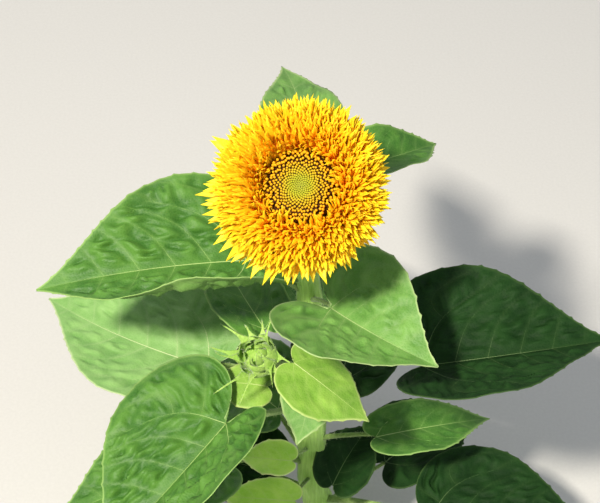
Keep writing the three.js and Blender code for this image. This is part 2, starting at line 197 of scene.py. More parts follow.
def grid(name: str, columns: int, rows: int) -> Piece:
    """Adds a flat grid from -1 to 1 both ways, the start of a surface.

    Args:
        name: Name of the new object.
        columns: Faces along X.
        rows: Faces along Y.

    Returns:
        The new object.
    """
    bpy.ops.object.select_all(action="DESELECT")
    bpy.ops.mesh.primitive_grid_add(x_subdivisions=columns, y_subdivisions=rows, size=2)
    piece = bpy.context.active_object
    piece.name = piece.data.name = name
    return piece


def close_tube(piece: Piece) -> None:
    """Merges the seam of a grid that was wrapped round, fills its ends and turns its faces out.

    Args:
        piece: The wrapped grid.
    """
    select_only(piece)
    bpy.ops.object.mode_set(mode="EDIT")
    bpy.ops.mesh.select_all(action="SELECT")
    bpy.ops.mesh.remove_doubles(threshold=SEAM_M)
    bpy.ops.mesh.select_all(action="SELECT")
    bpy.ops.mesh.fill_holes(sides=0)
    bpy.ops.mesh.select_all(action="SELECT")
    bpy.ops.mesh.normals_make_consistent(inside=False)
    bpy.ops.object.mode_set(mode="OBJECT")


def shade_smooth(piece: Piece) -> None:
    """Shades a piece smoothly."""
    select_only(piece)
    bpy.ops.object.shade_smooth()


def lathe(name: str, profile: Pairs, around: int, place: Placer) -> Piece:
    """Models a closed, smooth form turned about an upright axis, in its place on the plant.

    Args:
        name: Name of the new object.
        profile: Radius and height pairs in mm, from bottom to top.
        around: Faces round the axis.
        place: Puts upright points into their place.

    Returns:
        The new object.
    """
    piece = grid(name, around, 4 * (len(profile) - 1))
    flat = coordinates(piece)
    angle, share = (flat[:, 0] + 1) * math.pi, (flat[:, 1] + 1) / 2
    radius = blend([r for r, _ in profile], share)
    height = blend([z for _, z in profile], share)
    upright = np.stack([radius * np.cos(angle), radius * np.sin(angle), height], axis=-1)
    move_vertices(piece, place(upright))
    close_tube(piece)
    shade_smooth(piece)
    return piece


def apply_modifier(piece: Piece, kind: str, **settings: object) -> None:
    """Adds a modifier to a piece and applies it.

    Args:
        piece: The object.
        kind: The modifier's type.
        settings: Properties of the modifier.
    """
    select_only(piece)
    modifier = piece.modifiers.new(kind.title(), kind)
    for key, value in settings.items():
        setattr(modifier, key, value)
    bpy.ops.object.modifier_apply(modifier=modifier.name)


def mark(piece: Piece, name: str, values: Array) -> None:
    """Writes three numbers for each vertex to a named attribute of a mesh.

    Args:
        piece: The object.
        name: Name of the attribute.
        values: Numbers whose last axis has length 3, in the order of the vertices.
    """
    attribute = piece.data.attributes.new(name, "FLOAT_VECTOR", "POINT")
    attribute.data.foreach_set("vector", values.astype(np.float32).ravel())


def join(pieces: Sequence[Piece]) -> Piece:
    """Joins several mesh objects into the first of them.

    Args:
        pieces: The objects.

    Returns:
        The first object, which then holds them all.
    """
    bpy.ops.object.select_all(action="DESELECT")
    for piece in pieces:
        piece.select_set(True)
    bpy.context.view_layer.objects.active = pieces[0]
    bpy.ops.object.join()
    return pieces[0]


def fit(piece: Piece, slot: str, nodes: Sequence[str] = ()) -> None:
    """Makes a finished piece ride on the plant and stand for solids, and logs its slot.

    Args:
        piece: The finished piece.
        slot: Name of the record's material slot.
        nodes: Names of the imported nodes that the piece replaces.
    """
    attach(piece, BODY)
    if nodes:
        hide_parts(*nodes)
    sides = np.zeros(len(piece.data.polygons), np.int32)
    piece.data.polygons.foreach_get("loop_total", sides)
    LOG.info("%s: %d triangles, slot %s, for %s", piece.name, (sides - 2).sum(), slot,
             ", ".join(nodes) or "no node")


@dataclass(frozen=True)
class Template:
    """One small form, modelled once, whose vertices are then laid out many times.

    Attributes:
        share: Each vertex's share of the way from root to tip.
        across: Each vertex's place across the form, from -1 to 1.
        through: Each vertex's place through the form, from -1 to 1.
        faces: Corner lists of the faces.
    """

    share: Array
    across: Array
    through: Array
    faces: list[tuple[int, ...]]

    @classmethod
    @lru_cache(maxsize=None)
    def prism(cls, sides: int, steps: int) -> "Template":
        """Models a straight prism with rings of vertices along it, once for each size.

        Args:
            sides: Sides of its section.
            steps: Steps from root to tip.

        Returns:
            The template.
        """
        bpy.ops.object.select_all(action="DESELECT")
        bpy.ops.mesh.primitive_cylinder_add(vertices=sides, radius=1, depth=1)
        model = bpy.context.active_object
        bpy.ops.object.mode_set(mode="EDIT")
        bpy.ops.mesh.select_all(action="DESELECT")
        bpy.ops.object.mode_set(mode="OBJECT")
        heights = coordinates(model)[:, 2]
        for edge in model.data.edges:
            edge.select = bool(abs(heights[edge.vertices[0]] - heights[edge.vertices[1]]) > 0.5)
        bpy.ops.object.mode_set(mode="EDIT")
        bpy.ops.mesh.select_mode(type="EDGE")
        bpy.ops.mesh.subdivide(number_cuts=steps - 1)
        bpy.ops.object.mode_set(mode="OBJECT")
        points = coordinates(model)
        faces = [tuple(face.vertices) for face in model.data.polygons]
        mesh = model.data
        bpy.data.objects.remove(model)
        bpy.data.meshes.remove(mesh)
        return cls(points[:, 2] + 0.5, points[:, 0], points[:, 1], faces)

    def copies(self, name: str, places: Array) -> Piece:
        """Makes one mesh object of many laid-out copies.

        Args:
            name: Name of the new object.
            places: Places in millimetres of every copy's vertices, of shape (copies, n, 3).

        Returns:
            The new object.
        """
        count, size = places.shape[:2]
        corners = np.concatenate([np.array(face) for face in self.faces])
        totals = np.array([len(face) for face in self.faces])
        loops = (corners[None, :] + size * np.arange(count)[:, None]).ravel()
        sides = np.tile(totals, count)
        mesh = bpy.data.meshes.new(name)
        mesh.vertices.add(count * size)
        mesh.vertices.foreach_set("co", (places * MM).astype(np.float32).ravel())
        mesh.loops.add(len(loops))
        mesh.loops.foreach_set("vertex_index", loops.astype(np.int32))
        mesh.polygons.add(len(sides))
        starts = np.concatenate([[0], np.cumsum(sides)[:-1]])
        mesh.polygons.foreach_set("loop_start", starts.astype(np.int32))
        mesh.polygons.foreach_set("loop_total", sides.astype(np.int32))
        mesh.update(calc_edges=True)
        mesh.validate()
        piece = bpy.data.objects.new(name, mesh)
        bpy.context.scene.collection.objects.link(piece)
        return piece


# Small toolbox: lines in space.


@dataclass(frozen=True)
class Spine:
    """A smooth line in the plant's frame, kept as close samples, in millimetres.

    Attributes:
        points: Sampled places, of shape (n, 3).
        params: Curve parameter of each sample, from 0 to 1.
        lengths: Length along the line at each sample.
    """

    points: Array
    params: Array
    lengths: Array

    @classmethod
    def sampled(cls, points: Array) -> "Spine":
        """Keeps sampled points, evenly spaced in the curve's parameter, as a line."""
        steps = np.linalg.norm(np.diff(points, axis=0), axis=1)
        return cls(points, np.linspace(0, 1, len(points)), np.concatenate([[0], np.cumsum(steps)]))

    @classmethod
    def through(cls, places: Sequence[Sequence[float]]) -> "Spine":
        """Lays a centripetal curve through listed places, as the source does.

        Args:
            places: Places that the line runs through.

        Returns:
            The line.
        """
        known = np.array(places, float)
        ends = np.vstack([2 * known[0] - known[1], known, 2 * known[-1] - known[-2]])
        share = np.linspace(0, 1, SPINE_SAMPLES + 1)[:, None]
        parts = []
        for before, start, end, after in zip(ends, ends[1:], ends[2:], ends[3:]):
            gaps = [float(np.sum((b - a) ** 2)) ** 0.25
                    for a, b in ((before, start), (start, end), (end, after))]
            leave = ((start - before) / gaps[0] - (end - before) / (gaps[0] + gaps[1])
                     + (end - start) / gaps[1]) * gaps[1]
            arrive = ((end - start) / gaps[1] - (after - start) / (gaps[1] + gaps[2])
                      + (after - end) / gaps[2]) * gaps[1]
            square = -3 * start + 3 * end - 2 * leave - arrive
            cube = 2 * start - 2 * end + leave + arrive
            parts.append((start + leave * share + square * share**2 + cube * share**3)[:-1])
        return cls.sampled(np.vstack([*parts, known[-1:]]))

    @classmethod
    def bowed(cls, start: Array, handle: Array, end: Array) -> "Spine":
        """A line from start to end that one handle bows."""
        share = np.linspace(0, 1, SPINE_SAMPLES + 1)[:, None]
        return cls.sampled((1 - share) ** 2 * start + 2 * share * (1 - share) * handle + share**2 * end)

    def at(self, share: Array) -> Array:
        """Places at shares of the line's length, of shape (n, 3)."""
        wanted = np.clip(np.atleast_1d(share), 0, 1) * self.lengths[-1]
        return np.stack([np.interp(wanted, self.lengths, self.points[:, i]) for i in range(3)], axis=-1)

    def param(self, share: Array) -> Array:
        """The curve's own parameter at shares of its length."""
        return np.interp(np.clip(share, 0, 1) * self.lengths[-1], self.lengths, self.params)

    def along(self, share: Array) -> Array:
        """Directions of the line at shares of its length."""
        step = 2e-3
        return unit(self.at(np.asarray(share) + step) - self.at(np.asarray(share) - step))

    def share_at_height(self, height: float) -> float:
        """The share of the length at which a rising line reaches a height."""
        return float(np.interp(height, self.points[:, 2], self.lengths) / self.lengths[-1])

    def sides(self, share: Array, towards: Array) -> tuple[Array, Array]:
        """Finds two directions square to the line and to one another.

        Args:
            share: Shares of the line's length.
            towards: Direction that the first one comes as near to as it can.

        Returns:
            The first and the second directions, each of shape (n, 3).
        """
        along = self.along(share)
        first = unit(towards - along * (along @ towards)[:, None])
        return first, np.cross(along, first)


# Limbs: the skin of the stem, the branch and the stalks.

LIMB_TOP = np.array([0.02, -0.35, 1.0])  # the angle round a limb starts where its skin faces this way
RIDGE_TURN = 5  # radians that the ridges turn from end to end
FINE_RIDGE = 0.35  # height of the finer ridges beside the main ones
FINE_RIDGE_TURN = 9  # radians that the finer ridges turn the other way
NODE_SWELL = 0.055  # how far a node swells the limb, as a share of its radius
NODE_REACH = 7  # mm along the limb that the swelling reaches
GROOVE_WIDTH = 0.5  # half the groove's width, in radians


@dataclass(frozen=True)
class Limb:
    """A round limb along a line, with its radii and the relief of its skin.

    Attributes:
        spine: The line that it follows.
        radii: Radii in mm at even steps of the line's parameter.
        ridges: How many shallow ridges run along it.
        relief: How far the ridges stand out, as a share of the radius.
        nodes: Shares of the length where a stalk leaves and the limb swells.
        groove: How deep the channel along its upper side is, as a share of the radius.
    """

    spine: Spine
    radii: Sequence[float]
    ridges: int = 9
    relief: float = 0.02
    nodes: Sequence[float] = ()
    groove: float = 0.0

    def radius(self, share: Array, angle: Array) -> Array:
        """Works out the skin's distance from the line.

        Args:
            share: Shares of the limb's length.
            angle: Angles round it.

        Returns:
            Distances in mm.
        """
        plain = blend(self.radii, self.spine.param(share))
        wave = self.relief * np.cos(self.ridges * angle + RIDGE_TURN * share)
        fine = np.cos((2 * self.ridges + 1) * angle - FINE_RIDGE_TURN * share)
        wave += FINE_RIDGE * self.relief * fine
        swell = np.zeros_like(plain)
        for node in self.nodes:
            swell += NODE_SWELL * np.exp(-(((share - node) * self.spine.lengths[-1] / NODE_REACH) ** 2))
        channel = self.groove * np.exp(-((np.angle(np.exp(1j * angle)) / GROOVE_WIDTH) ** 2))
        return plain * (1 + wave + swell - channel)

    def skin(self, share: Array, angle: Array, off: Array | float = 0.0) -> Array:
        """Places on the skin, or off it by a distance in mm.

        Args:
            share: Shares of the limb's length.
            angle: Angles round it, from the side that looks up or forwards.
            off: Distance from the skin.

        Returns:
            Places of shape (n, 3).
        """
        first, second = self.spine.sides(share, LIMB_TOP)
        radius = self.radius(share, angle) + off
        out = first * np.cos(angle)[:, None] + second * np.sin(angle)[:, None]
        return self.spine.at(share) + out * radius[:, None]

    def build(self, name: str, around: int, along: int) -> Piece:
        """Models the limb's skin as a closed mesh, from a grid wrapped round its line.

        Args:
            name: Name of the new object.
            around: Faces round the limb.
            along: Faces along the limb.

        Returns:
            The new object.
        """
        piece = grid(name, around, along)
        flat = coordinates(piece)
        angle = (flat[:, 0] + 1) * math.pi
        move_vertices(piece, self.skin((flat[:, 1] + 1) / 2, angle))
        close_tube(piece)
        shade_smooth(piece)
        return piece


# Finishes.

PATCH_MM = 18  # size of the lighter and darker patches on a blade
BROAD_MM = 30  # size of the broad changes along a stem
GRAIN_PER_MM = 0.9  # rises and falls of the fine grain on blades and petals for each mm


def linear(colour: str) -> tuple[float, float, float, float]:
    """Turns a colour written as sRGB hex into Blender's linear values.

    Args:
        colour: The colour.

    Returns:
        Red, green and blue from 0 to 1, and full opacity.
    """
    channels = [int(colour[i : i + 2], 16) / 255 for i in (1, 3, 5)]
    red, green, blue = (c / 12.92 if c <= 0.04045 else ((c + 0.055) / 1.055) ** 2.4 for c in channels)
    return red, green, blue, 1.0


def add_node(
    tree: Tree,
    kind: str,
    inputs: dict[int | str, object] | None = None,
    stops: Sequence[tuple[float, str]] = (),
    **settings: object,
) -> bpy.types.Node:
    """Adds a shader node with its settings, values and links.

    Args:
        tree: The material's node tree.
        kind: The shader node's type, without the words that all their types start with.
        inputs: Input name or number to a value, or to the output socket that feeds it.
        stops: Places and sRGB hex colours of a colour ramp.
        settings: Properties of the node.

    Returns:
        The new node.
    """
    node = tree.nodes.new("ShaderNode" + kind)
    for key, value in settings.items():
        setattr(node, key, value)
    for key, value in (inputs or {}).items():
        if isinstance(value, Socket):
            tree.links.new(value, node.inputs[key])
        else:
            node.inputs[key].default_value = value
    if stops:
        elements = node.color_ramp.elements
        while len(elements) < len(stops):
            elements.new(1.0)
        for element, (place, colour) in zip(elements, stops):
            element.position = place
            element.color = linear(colour)
    return node


def new_material(name: str) -> tuple[Material, Tree, Socket]:
    """Starts a material whose patterns are laid on the object in millimetres.

    Args:
        name: Name of the material.

    Returns:
        The material, its node tree, and a socket with the place on the object in mm.
    """
    material = bpy.data.materials.new(name)
    material.use_nodes = True
    tree = material.node_tree
    tree.nodes.clear()
    place = add_node(tree, "TexCoord")
    scaled = add_node(tree, "Mapping", {"Vector": place.outputs["Object"], "Scale": [1 / MM] * 3})
    return material, tree, scaled.outputs["Vector"]


def read_marks(tree: Tree, name: str) -> list[Socket]:
    """Reads the three numbers that a piece's own attribute holds at each place.

    Args:
        tree: The material's node tree.
        name: Name of the attribute.

    Returns:
        A socket for each number.
    """
    marks = add_node(tree, "Attribute", attribute_name=name)
    numbers = add_node(tree, "SeparateXYZ", {"Vector": marks.outputs["Vector"]})
    return [numbers.outputs[axis] for axis in "XYZ"]


def finish_surface(
    tree: Tree,
    colour: Socket,
    relief: Socket,
    relief_mm: float,
    roughness: Socket | float,
    **skin: object,
) -> None:
    """Ends a material: relief as bump, one Principled shader and the output.

    Args:
        tree: The material's node tree.
        colour: Socket with the base colour.
        relief: Socket with the relief's height, from 0 to 1.
        relief_mm: What a height of 1 is in millimetres.
        roughness: Socket or value of the roughness.
        skin: Values for the shader's other inputs, by name with underscores for spaces.
    """
    bump = add_node(tree, "Bump", {"Height": relief, "Distance": relief_mm * MM, "Strength": 1.0})
    named = {key.replace("_", " "): value for key, value in skin.items()}
    shader = add_node(tree, "BsdfPrincipled", {
        "Base Color": colour, "Roughness": roughness, "Normal": bump.outputs["Normal"], **named})
    add_node(tree, "OutputMaterial", {"Surface": shader.outputs["BSDF"]})


@dataclass(frozen=True)
class LeafSkin:
    """A living leaf blade: thin, rough-haired and puckered tissue.

    Its cells are too small to show. The net of small veins gives the eye only a faint pebbled
    surface, and the short hairs leave it satin and not glossy.

    Attributes:
        name: Name of the finish.
        deep: Colour of the darker patches and of the puckers' hollows, where it is painted shade.
        high: Colour of the lighter patches and of the puckers' crowns, where it is painted light.
        vein: Colour along the veins and at the rim.
        roughness: Typical roughness of the surface.
        shine: Level of its gloss; older leaves in the shade, whose deep green is painted shade, are duller.
        cell_mm: Size of the net's cells; real ones are half as wide, and are drawn coarser to show.
        net: How strongly the net's lines show.
        relief_mm: Height of its pebbles.
    """

    name: str
    deep: str
    high: str
    vein: str
    roughness: float = 0.52
    shine: float = 0.3
    cell_mm: float = 2.2
    net: float = 0.1
    relief_mm: float = 0.1

    def build(self) -> Material:
        """Makes the material, whose blade attribute holds vein or rim share, distance in mm and height.

        Returns:
            The material.
        """
        material, tree, place = new_material(self.name)
        strength, _, height = read_marks(tree, "blade")
        patches = add_node(tree, "TexNoise", {"Vector": place, "Scale": 1 / PATCH_MM, "Detail": 3.0})
        cells = add_node(tree, "TexVoronoi", {"Vector": place, "Scale": 1 / self.cell_mm},
                         feature="DISTANCE_TO_EDGE")
        grain = add_node(tree, "TexNoise", {"Vector": place, "Scale": GRAIN_PER_MM, "Detail": 2.0})
        # Patches are the blade's own tone; the height adds painted shade in the hollows and painted light on
        # the crowns.
        crown = add_node(tree, "Math", {0: patches.outputs["Fac"], 1: height}, operation="ADD")
        base = add_node(tree, "ValToRGB", {"Fac": crown.outputs[0]},
                        stops=[(0.32, self.deep), (0.72, self.high)])
        line = add_node(tree, "MapRange",
                        {"Value": cells.outputs["Distance"], 1: 0.0, 2: 0.12, 3: self.net, 4: 0.0})
        netted = add_node(tree, "Mix", {0: line.outputs[0], 6: base.outputs["Color"],
                                        7: linear(self.vein)}, data_type="RGBA")
        veined = add_node(tree, "Mix", {0: strength, 6: netted.outputs[2],
                                        7: linear(self.vein)}, data_type="RGBA")
        pebble = add_node(tree, "MapRange",
                          {"Value": cells.outputs["Distance"], 1: 0.0, 2: 0.4, 3: 0.0, 4: 1.0},
                          interpolation_type="SMOOTHSTEP")
        relief = add_node(tree, "Math", {0: grain.outputs["Fac"], 1: 0.6, 2: pebble.outputs[0]},
                          operation="MULTIPLY_ADD")
        gloss = add_node(tree, "MapRange", {"Value": patches.outputs["Fac"],
                                            3: self.roughness - 0.06, 4: self.roughness + 0.1})
        finish_surface(tree, veined.outputs[2], relief.outputs[0], self.relief_mm, gloss.outputs[0],
                       Specular_IOR_Level=self.shine)
        return material


@dataclass(frozen=True)
class HairySkin:
    """Soft green stem, stalk or bract tissue under short pale hairs.

    Fine lines run along it, and the hairs scatter light, so that it looks matt and a little dusty.

    Attributes:
        name: Name of the finish.
        dark: Colour of the hollows.
        light: Colour of the raised lines.
        grain_mm: Size of the mottling.
        stretch: How many times longer the mottling is along Z.
        relief_mm: Height of the mottling.
    """

    name: str
    dark: str
    light: str
    grain_mm: float = 2.2
    stretch: float = 1.0
    relief_mm: float = 0.18

    def build(self) -> Material:
        """Makes the material.

        Returns:
            The material.
        """
        material, tree, place = new_material(self.name)
        drawn = add_node(tree, "Mapping", {"Vector": place, "Scale": (1, 1, 1 / self.stretch)})
        mottle = add_node(tree, "TexNoise",
                          {"Vector": drawn.outputs["Vector"], "Scale": 1 / self.grain_mm, "Detail": 2.0})
        broad = add_node(tree, "TexNoise", {"Vector": place, "Scale": 1 / BROAD_MM, "Detail": 1.0})
        both = add_node(tree, "Math", {0: mottle.outputs["Fac"], 1: broad.outputs["Fac"]},
                        operation="ADD")
        half = add_node(tree, "Math", {0: both.outputs[0], 1: 0.5}, operation="MULTIPLY")
        base = add_node(tree, "ValToRGB", {"Fac": half.outputs[0]},
                        stops=[(0.36, self.dark), (0.62, self.light)])
        finish_surface(tree, base.outputs["Color"], mottle.outputs["Fac"], self.relief_mm, 0.68,
                       Sheen_Weight=0.2, Sheen_Roughness=0.4)
        return material


@dataclass(frozen=True)
class VeinSkin:
    """A leaf's veins: smooth pale cords that fade into the blade's green as they thin.

    Attributes:
        name: Name of the finish.
        thick: Colour of the midrib at its foot.
        thin: Colour of the finest veins.
        relief_mm: Height of its grain.
    """

    name: str
    thick: str
    thin: str
    relief_mm: float = 0.1

    def build(self) -> Material:
        """Makes the material, whose blade attribute's first number is the vein's strength.

        Returns:
            The material.
        """
        material, tree, place = new_material(self.name)
        strength, _, _ = read_marks(tree, "blade")
        base = add_node(tree, "ValToRGB", {"Fac": strength},
                        stops=[(0.08, self.thin), (0.6, self.thick)])
        grain = add_node(tree, "TexNoise", {"Vector": place, "Scale": 0.8, "Detail": 1.0})
        finish_surface(tree, base.outputs["Color"], grain.outputs["Fac"], self.relief_mm, 0.55)
        return material


@dataclass(frozen=True)
class PetalSkin:
    """Ray and floret tissue: thin, soft and full of pigment, with a fine grain.

    Its colour is darker and more orange towards the root: painted shade, for the light that reaches there
    only through many layers of petals.

    Attributes:
        name: Name of the finish.
        root: Colour at the root, painted shade.
        middle: Colour half way along.
        tip: Colour at the tip.
        inner: Colour that the innermost ranks lean to by a random share, painted shade of the deep ranks
            beside the disc.
        glow: How much light passes under the skin.
        glow_reach: How far red, green and blue light pass under it, in mm.
        velvet: How strongly the fine surface cells catch light that grazes them.
        relief_mm: Height of its grain.
    """

    name: str
    root: str
    middle: str
    tip: str
    inner: str
    glow: float = 0.4
    glow_reach: tuple[float, float, float] = (1.0, 0.8, 0.2)
    velvet: float = 0.5
    relief_mm: float = 0.2

    def build(self) -> Material:
        """Makes the material, whose floret attribute holds the share from root to tip, rank and tint.

        Returns:
            The material.
        """
        material, tree, place = new_material(self.name)
        share, rank, tint = read_marks(tree, "floret")
        # From the root's painted shade to the tip's own yellow.
        base = add_node(tree, "ValToRGB", {"Fac": share},
                        stops=[(0.15, self.root), (0.5, self.middle), (0.85, self.tip)])
        # Painted shade: the inner ranks lean further to the inner colour, each by a random share.
        depth = add_node(tree, "MapRange", {"Value": rank, 3: 0.35, 4: 1.0})
        lean = add_node(tree, "Math", {0: depth.outputs[0], 1: tint}, operation="MULTIPLY")
        deep = add_node(tree, "Mix", {0: lean.outputs[0], 6: base.outputs["Color"],
                                      7: linear(self.inner)}, data_type="RGBA")
        grain = add_node(tree, "TexNoise", {"Vector": place, "Scale": GRAIN_PER_MM, "Detail": 2.0})
        finish_surface(tree, deep.outputs[2], grain.outputs["Fac"], self.relief_mm, 0.55,
                       Subsurface_Weight=self.glow, Subsurface_Radius=self.glow_reach,
                       Subsurface_Scale=MM, Specular_IOR_Level=0.3, Sheen_Weight=self.velvet,
                       Sheen_Roughness=0.5, Sheen_Tint=linear(self.middle))
        return material


@dataclass(frozen=True)
class DiscSkin:
    """The disc's packed small florets: waxy green buds in the middle, open yellow tubes outside.

    Between the outer tubes the eye sees down to dark brown scales.

    Attributes:
        name: Name of the finish.
        tips: Colours of the florets' tips from the disc's middle to its rim, with their places.
        depths: Colours deep between the florets from the middle to the rim, with their places.
        relief_mm: Height of its grain.
    """

    name: str
    tips: Sequence[tuple[float, str]]
    depths: Sequence[tuple[float, str]]
    relief_mm: float = 0.15

    def build(self) -> Material:
        """Makes the material, whose floret attribute holds the share from root to tip and from middle to rim.

        Returns:
            The material.
        """
        material, tree, place = new_material(self.name)
        share, outwards, _ = read_marks(tree, "floret")
        tips = add_node(tree, "ValToRGB", {"Fac": outwards}, stops=self.tips)
        depth = add_node(tree, "ValToRGB", {"Fac": outwards}, stops=self.depths)
        rise = add_node(tree, "MapRange", {"Value": share, 1: 0.3, 2: 0.8},
                        interpolation_type="SMOOTHSTEP")
        whole = add_node(tree, "Mix", {0: rise.outputs[0], 6: depth.outputs["Color"],
                                       7: tips.outputs["Color"]}, data_type="RGBA")
        grain = add_node(tree, "TexNoise", {"Vector": place, "Scale": 2.0, "Detail": 1.0})
        finish_surface(tree, whole.outputs[2], grain.outputs["Fac"], self.relief_mm, 0.65,
                       Specular_IOR_Level=0.1)
        return material


# sRGB colours of each green: the blade's puckers from deep to high and its veins, above and below. Deep to
# high paints shade into the puckers' hollows and light onto their crowns.
UPPER_GREENS = {
    # Deep: painted shade, darker than the leaves' own green.
    Tone.DEEP: ("#112d0e", "#1b3b15", "#3f592d"),
    Tone.MIDDLE: ("#366520", "#52812f", "#8cae5f"),
    Tone.PALE: ("#528132", "#6d9a47", "#a2b979"),
    Tone.SOFT: ("#68964b", "#84ae62", "#b3c491"),
    Tone.YOUNG: ("#6b9730", "#8bb245", "#b7ca77"),
    # Lime: partly painted light, brighter than the young leaves' own pale green.
    Tone.LIME: ("#a6de43", "#ccf266", "#eaf8a2"),
}
LOWER_GREENS = {
    # Deep: painted shade on the underside, darker than its own green.
    Tone.DEEP: ("#3c5f2a", "#4e7138", "#799259"),
    Tone.MIDDLE: ("#577f35", "#6f9648", "#98b270"),
    Tone.PALE: ("#668e43", "#7da358", "#a5bb7d"),
    Tone.SOFT: ("#6f954e", "#87a965", "#adbf8b"),
    Tone.YOUNG: ("#789e3c", "#91b555", "#b7c97f"),
    # Lime: partly painted light on the underside.
    Tone.LIME: ("#90b949", "#aacc65", "#c8d78c"),
}
# The colours of the raised veins, from the thick ones to the thin ones.
VEIN_GREENS = {
    # Deep: painted shade on the veins too.
    Tone.DEEP: ("#69824d", "#294f21"),
    Tone.MIDDLE: ("#a9c276", "#6d9a48"),
    Tone.PALE: ("#b1c081", "#759c50"),
    Tone.SOFT: ("#c0cd96", "#85aa63"),
    Tone.YOUNG: ("#bbcb7d", "#8eb249"),
    # Lime: partly painted light on the veins too.
    Tone.LIME: ("#ccd990", "#b0cd62"),
}
# Dull finish of the deep green, whose colour is painted shade.
DEEP_TONE_FINISH = {"roughness": 0.62, "shine": 0.12}
UNDERSIDE = {"roughness": 0.6}
DISC_TIPS = ((0.0, "#a4a83c"), (0.25, "#aeae2c"), (0.6, "#d6ac20"), (1.0, "#eeaa1a"))
DISC_DEPTHS = ((0.1, "#8a8a2c"), (0.42, "#6c5c14"), (0.62, "#46260a"))


@dataclass(frozen=True)
class Palette:
    """Every finish of the plant, made once. Blades, above and below, and veins have one for each tone."""

    leaves: dict[Tone, Material]
    undersides: dict[Tone, Material]
    veins: dict[Tone, Material]
    stalk: Material
    stem: Material
    hair: Material
    ray: Material
    floret: Material
    disc: Material
    bract: Material
    bud: Material

    @classmethod
    def mixed(cls) -> "Palette":
        """Mixes all the finishes from their sRGB colours.

        Returns:
            The palette.
        """
        tone_finish = {tone: DEEP_TONE_FINISH if tone is Tone.DEEP else {} for tone in Tone}
        return cls(
            leaves={tone: LeafSkin(f"leaf_{tone.value}", *greens, **tone_finish[tone]).build()
                    for tone, greens in UPPER_GREENS.items()},
            undersides={tone: LeafSkin(f"underside_{tone.value}", *greens, **UNDERSIDE).build()
                        for tone, greens in LOWER_GREENS.items()},
            veins={tone: VeinSkin(f"vein_{tone.value}", *greens).build()
                   for tone, greens in VEIN_GREENS.items()},
            stalk=HairySkin("stalk", "#6c8b3e", "#90aa61").build(),
            stem=HairySkin("stem", "#8bbb46", "#b4dd71", grain_mm=1.6, stretch=14).build(),
            hair=HairySkin("hair", "#9cb872", "#c8d8a2").build(),
            ray=PetalSkin("ray", "#ffb80c", "#ffd41e", "#ffe22c", "#ffcc18").build(),
            floret=PetalSkin("floret", "#ffae0a", "#ffcc18", "#ffdc24", "#ffb40c").build(),
            disc=DiscSkin("disc", DISC_TIPS, DISC_DEPTHS).build(),
            bract=HairySkin("bract", "#6b943c", "#96ba5f").build(),
            bud=HairySkin("bud", "#86af40", "#afce68").build(),
        )


# Main stem and the bud's branch.

STEM_AXIS = (
    (0, 0, 0),
    (0, 0, 24),
    (-16, 1, 95),
    (-18, 3, 150),
    (-16, 5, 230),
    (-21, 3, 350),
    (-25, -3, 420),
    (-26, -11, 456),
)
STEM_RADII = (17, 13, 12, 11.5, 10.8, 9.4, 8.2, 7.8, 7.8, 8.8)
NECK_LENGTH = 22
GAP = 0.3  # mm that the solids of the source stay clear of one another
STEM_FACES = (72, 260)  # faces round a limb and along it
BRANCH_FACES = (36, 60)
STALK_FACES = (16, 30)


@dataclass(frozen=True)
class Head:
    """Where the flower head stands.

    Attributes:
        centre: Centre of its rays, in mm.
        nod: How far it nods forwards, in degrees.
        turn: How far it then turns to the viewer's left, in degrees.
        cup_depth: Depth of its cup in mm.
    """

    centre: Point = (-26, -50, 520)
    nod: float = 34
    turn: float = 12
    cup_depth: float = 24

    @property
    def rotation(self) -> Array:
        """The matrix that turns the upright head into its place."""
        turned = turn_about((0, 0, 1), -math.radians(self.turn))
        return turned @ turn_about((1, 0, 0), math.radians(self.nod))

    def place(self, points: Array) -> Array:
        """Puts points of the upright head, round the origin, into their place on the plant."""
        return points @ self.rotation.T + np.array(self.centre)

    def neck(self) -> list[Array]:
        """The two places where the stem's neck starts and ends, below the cup."""
        axis, depths = self.rotation[:, 2], (self.cup_depth + NECK_LENGTH, self.cup_depth + GAP)
        return [np.array(self.centre) - axis * below for below in depths]


@dataclass
class Stem:
    """The main stem and the bud's branch, as ridged and hairy limbs.

    Attributes:
        head: The flower head that the main stem carries.
        branch_node: Height at which the bud's branch leaves the main stem.
        branch_places: Places that the branch runs through.
        branch_radii: The branch's radii at even steps.
    """

    head: Head = field(default_factory=Head)
    branch_node: float = 252
    branch_places: Sequence[Point] = ((-34, -21, 288), (-50, -39, 316), (-57, -48, 334))
    branch_radii: Sequence[float] = (6, 5, 4.2, 4.6)

    def __post_init__(self) -> None:
        """Lays the lines that the limbs follow."""
        self.spine = Spine.through([*STEM_AXIS, *self.head.neck()])
        self.branch_spine = Spine.through([self.on_stem(self.branch_node), *self.branch_places])

    def on_stem(self, height: float) -> Array:
        """The place on the main stem's line at a height."""
        return self.spine.at(self.spine.share_at_height(height))[0]

    def build(self, nodes: Sequence[float], palette: Palette) -> tuple[Limb, Limb]:
        """Models the skins of the main stem and the bud's branch.

        Args:
            nodes: Heights on the main stem where stalks leave.
            palette: The plant's finishes.

        Returns:
            The two limbs.
        """
        shares = [self.spine.share_at_height(height) for height in (*nodes, self.branch_node)]
        stem = Limb(self.spine, STEM_RADII, ridges=11, relief=0.022, nodes=shares)
        branch = Limb(self.branch_spine, self.branch_radii, ridges=7, relief=0.03, nodes=[0.45])
        trunk = stem.build("main_stem", *STEM_FACES)
        trunk.data.materials.append(palette.stem)
        fit(trunk, "stem", ["stem"])
        twig = branch.build("bud_stalk", *BRANCH_FACES)
        twig.data.materials.append(palette.stalk)
        fit(twig, "stem", ["bud_branch"])
        return stem, branch


ODD_WAY = np.array([0.31, 0.52, 0.79])  # no hair points this way, so every hair's section is laid by it
STEM_HAIRS = 4200
BRANCH_HAIRS = 900
STALK_HAIRS = 160
BUD_HAIRS = 1500


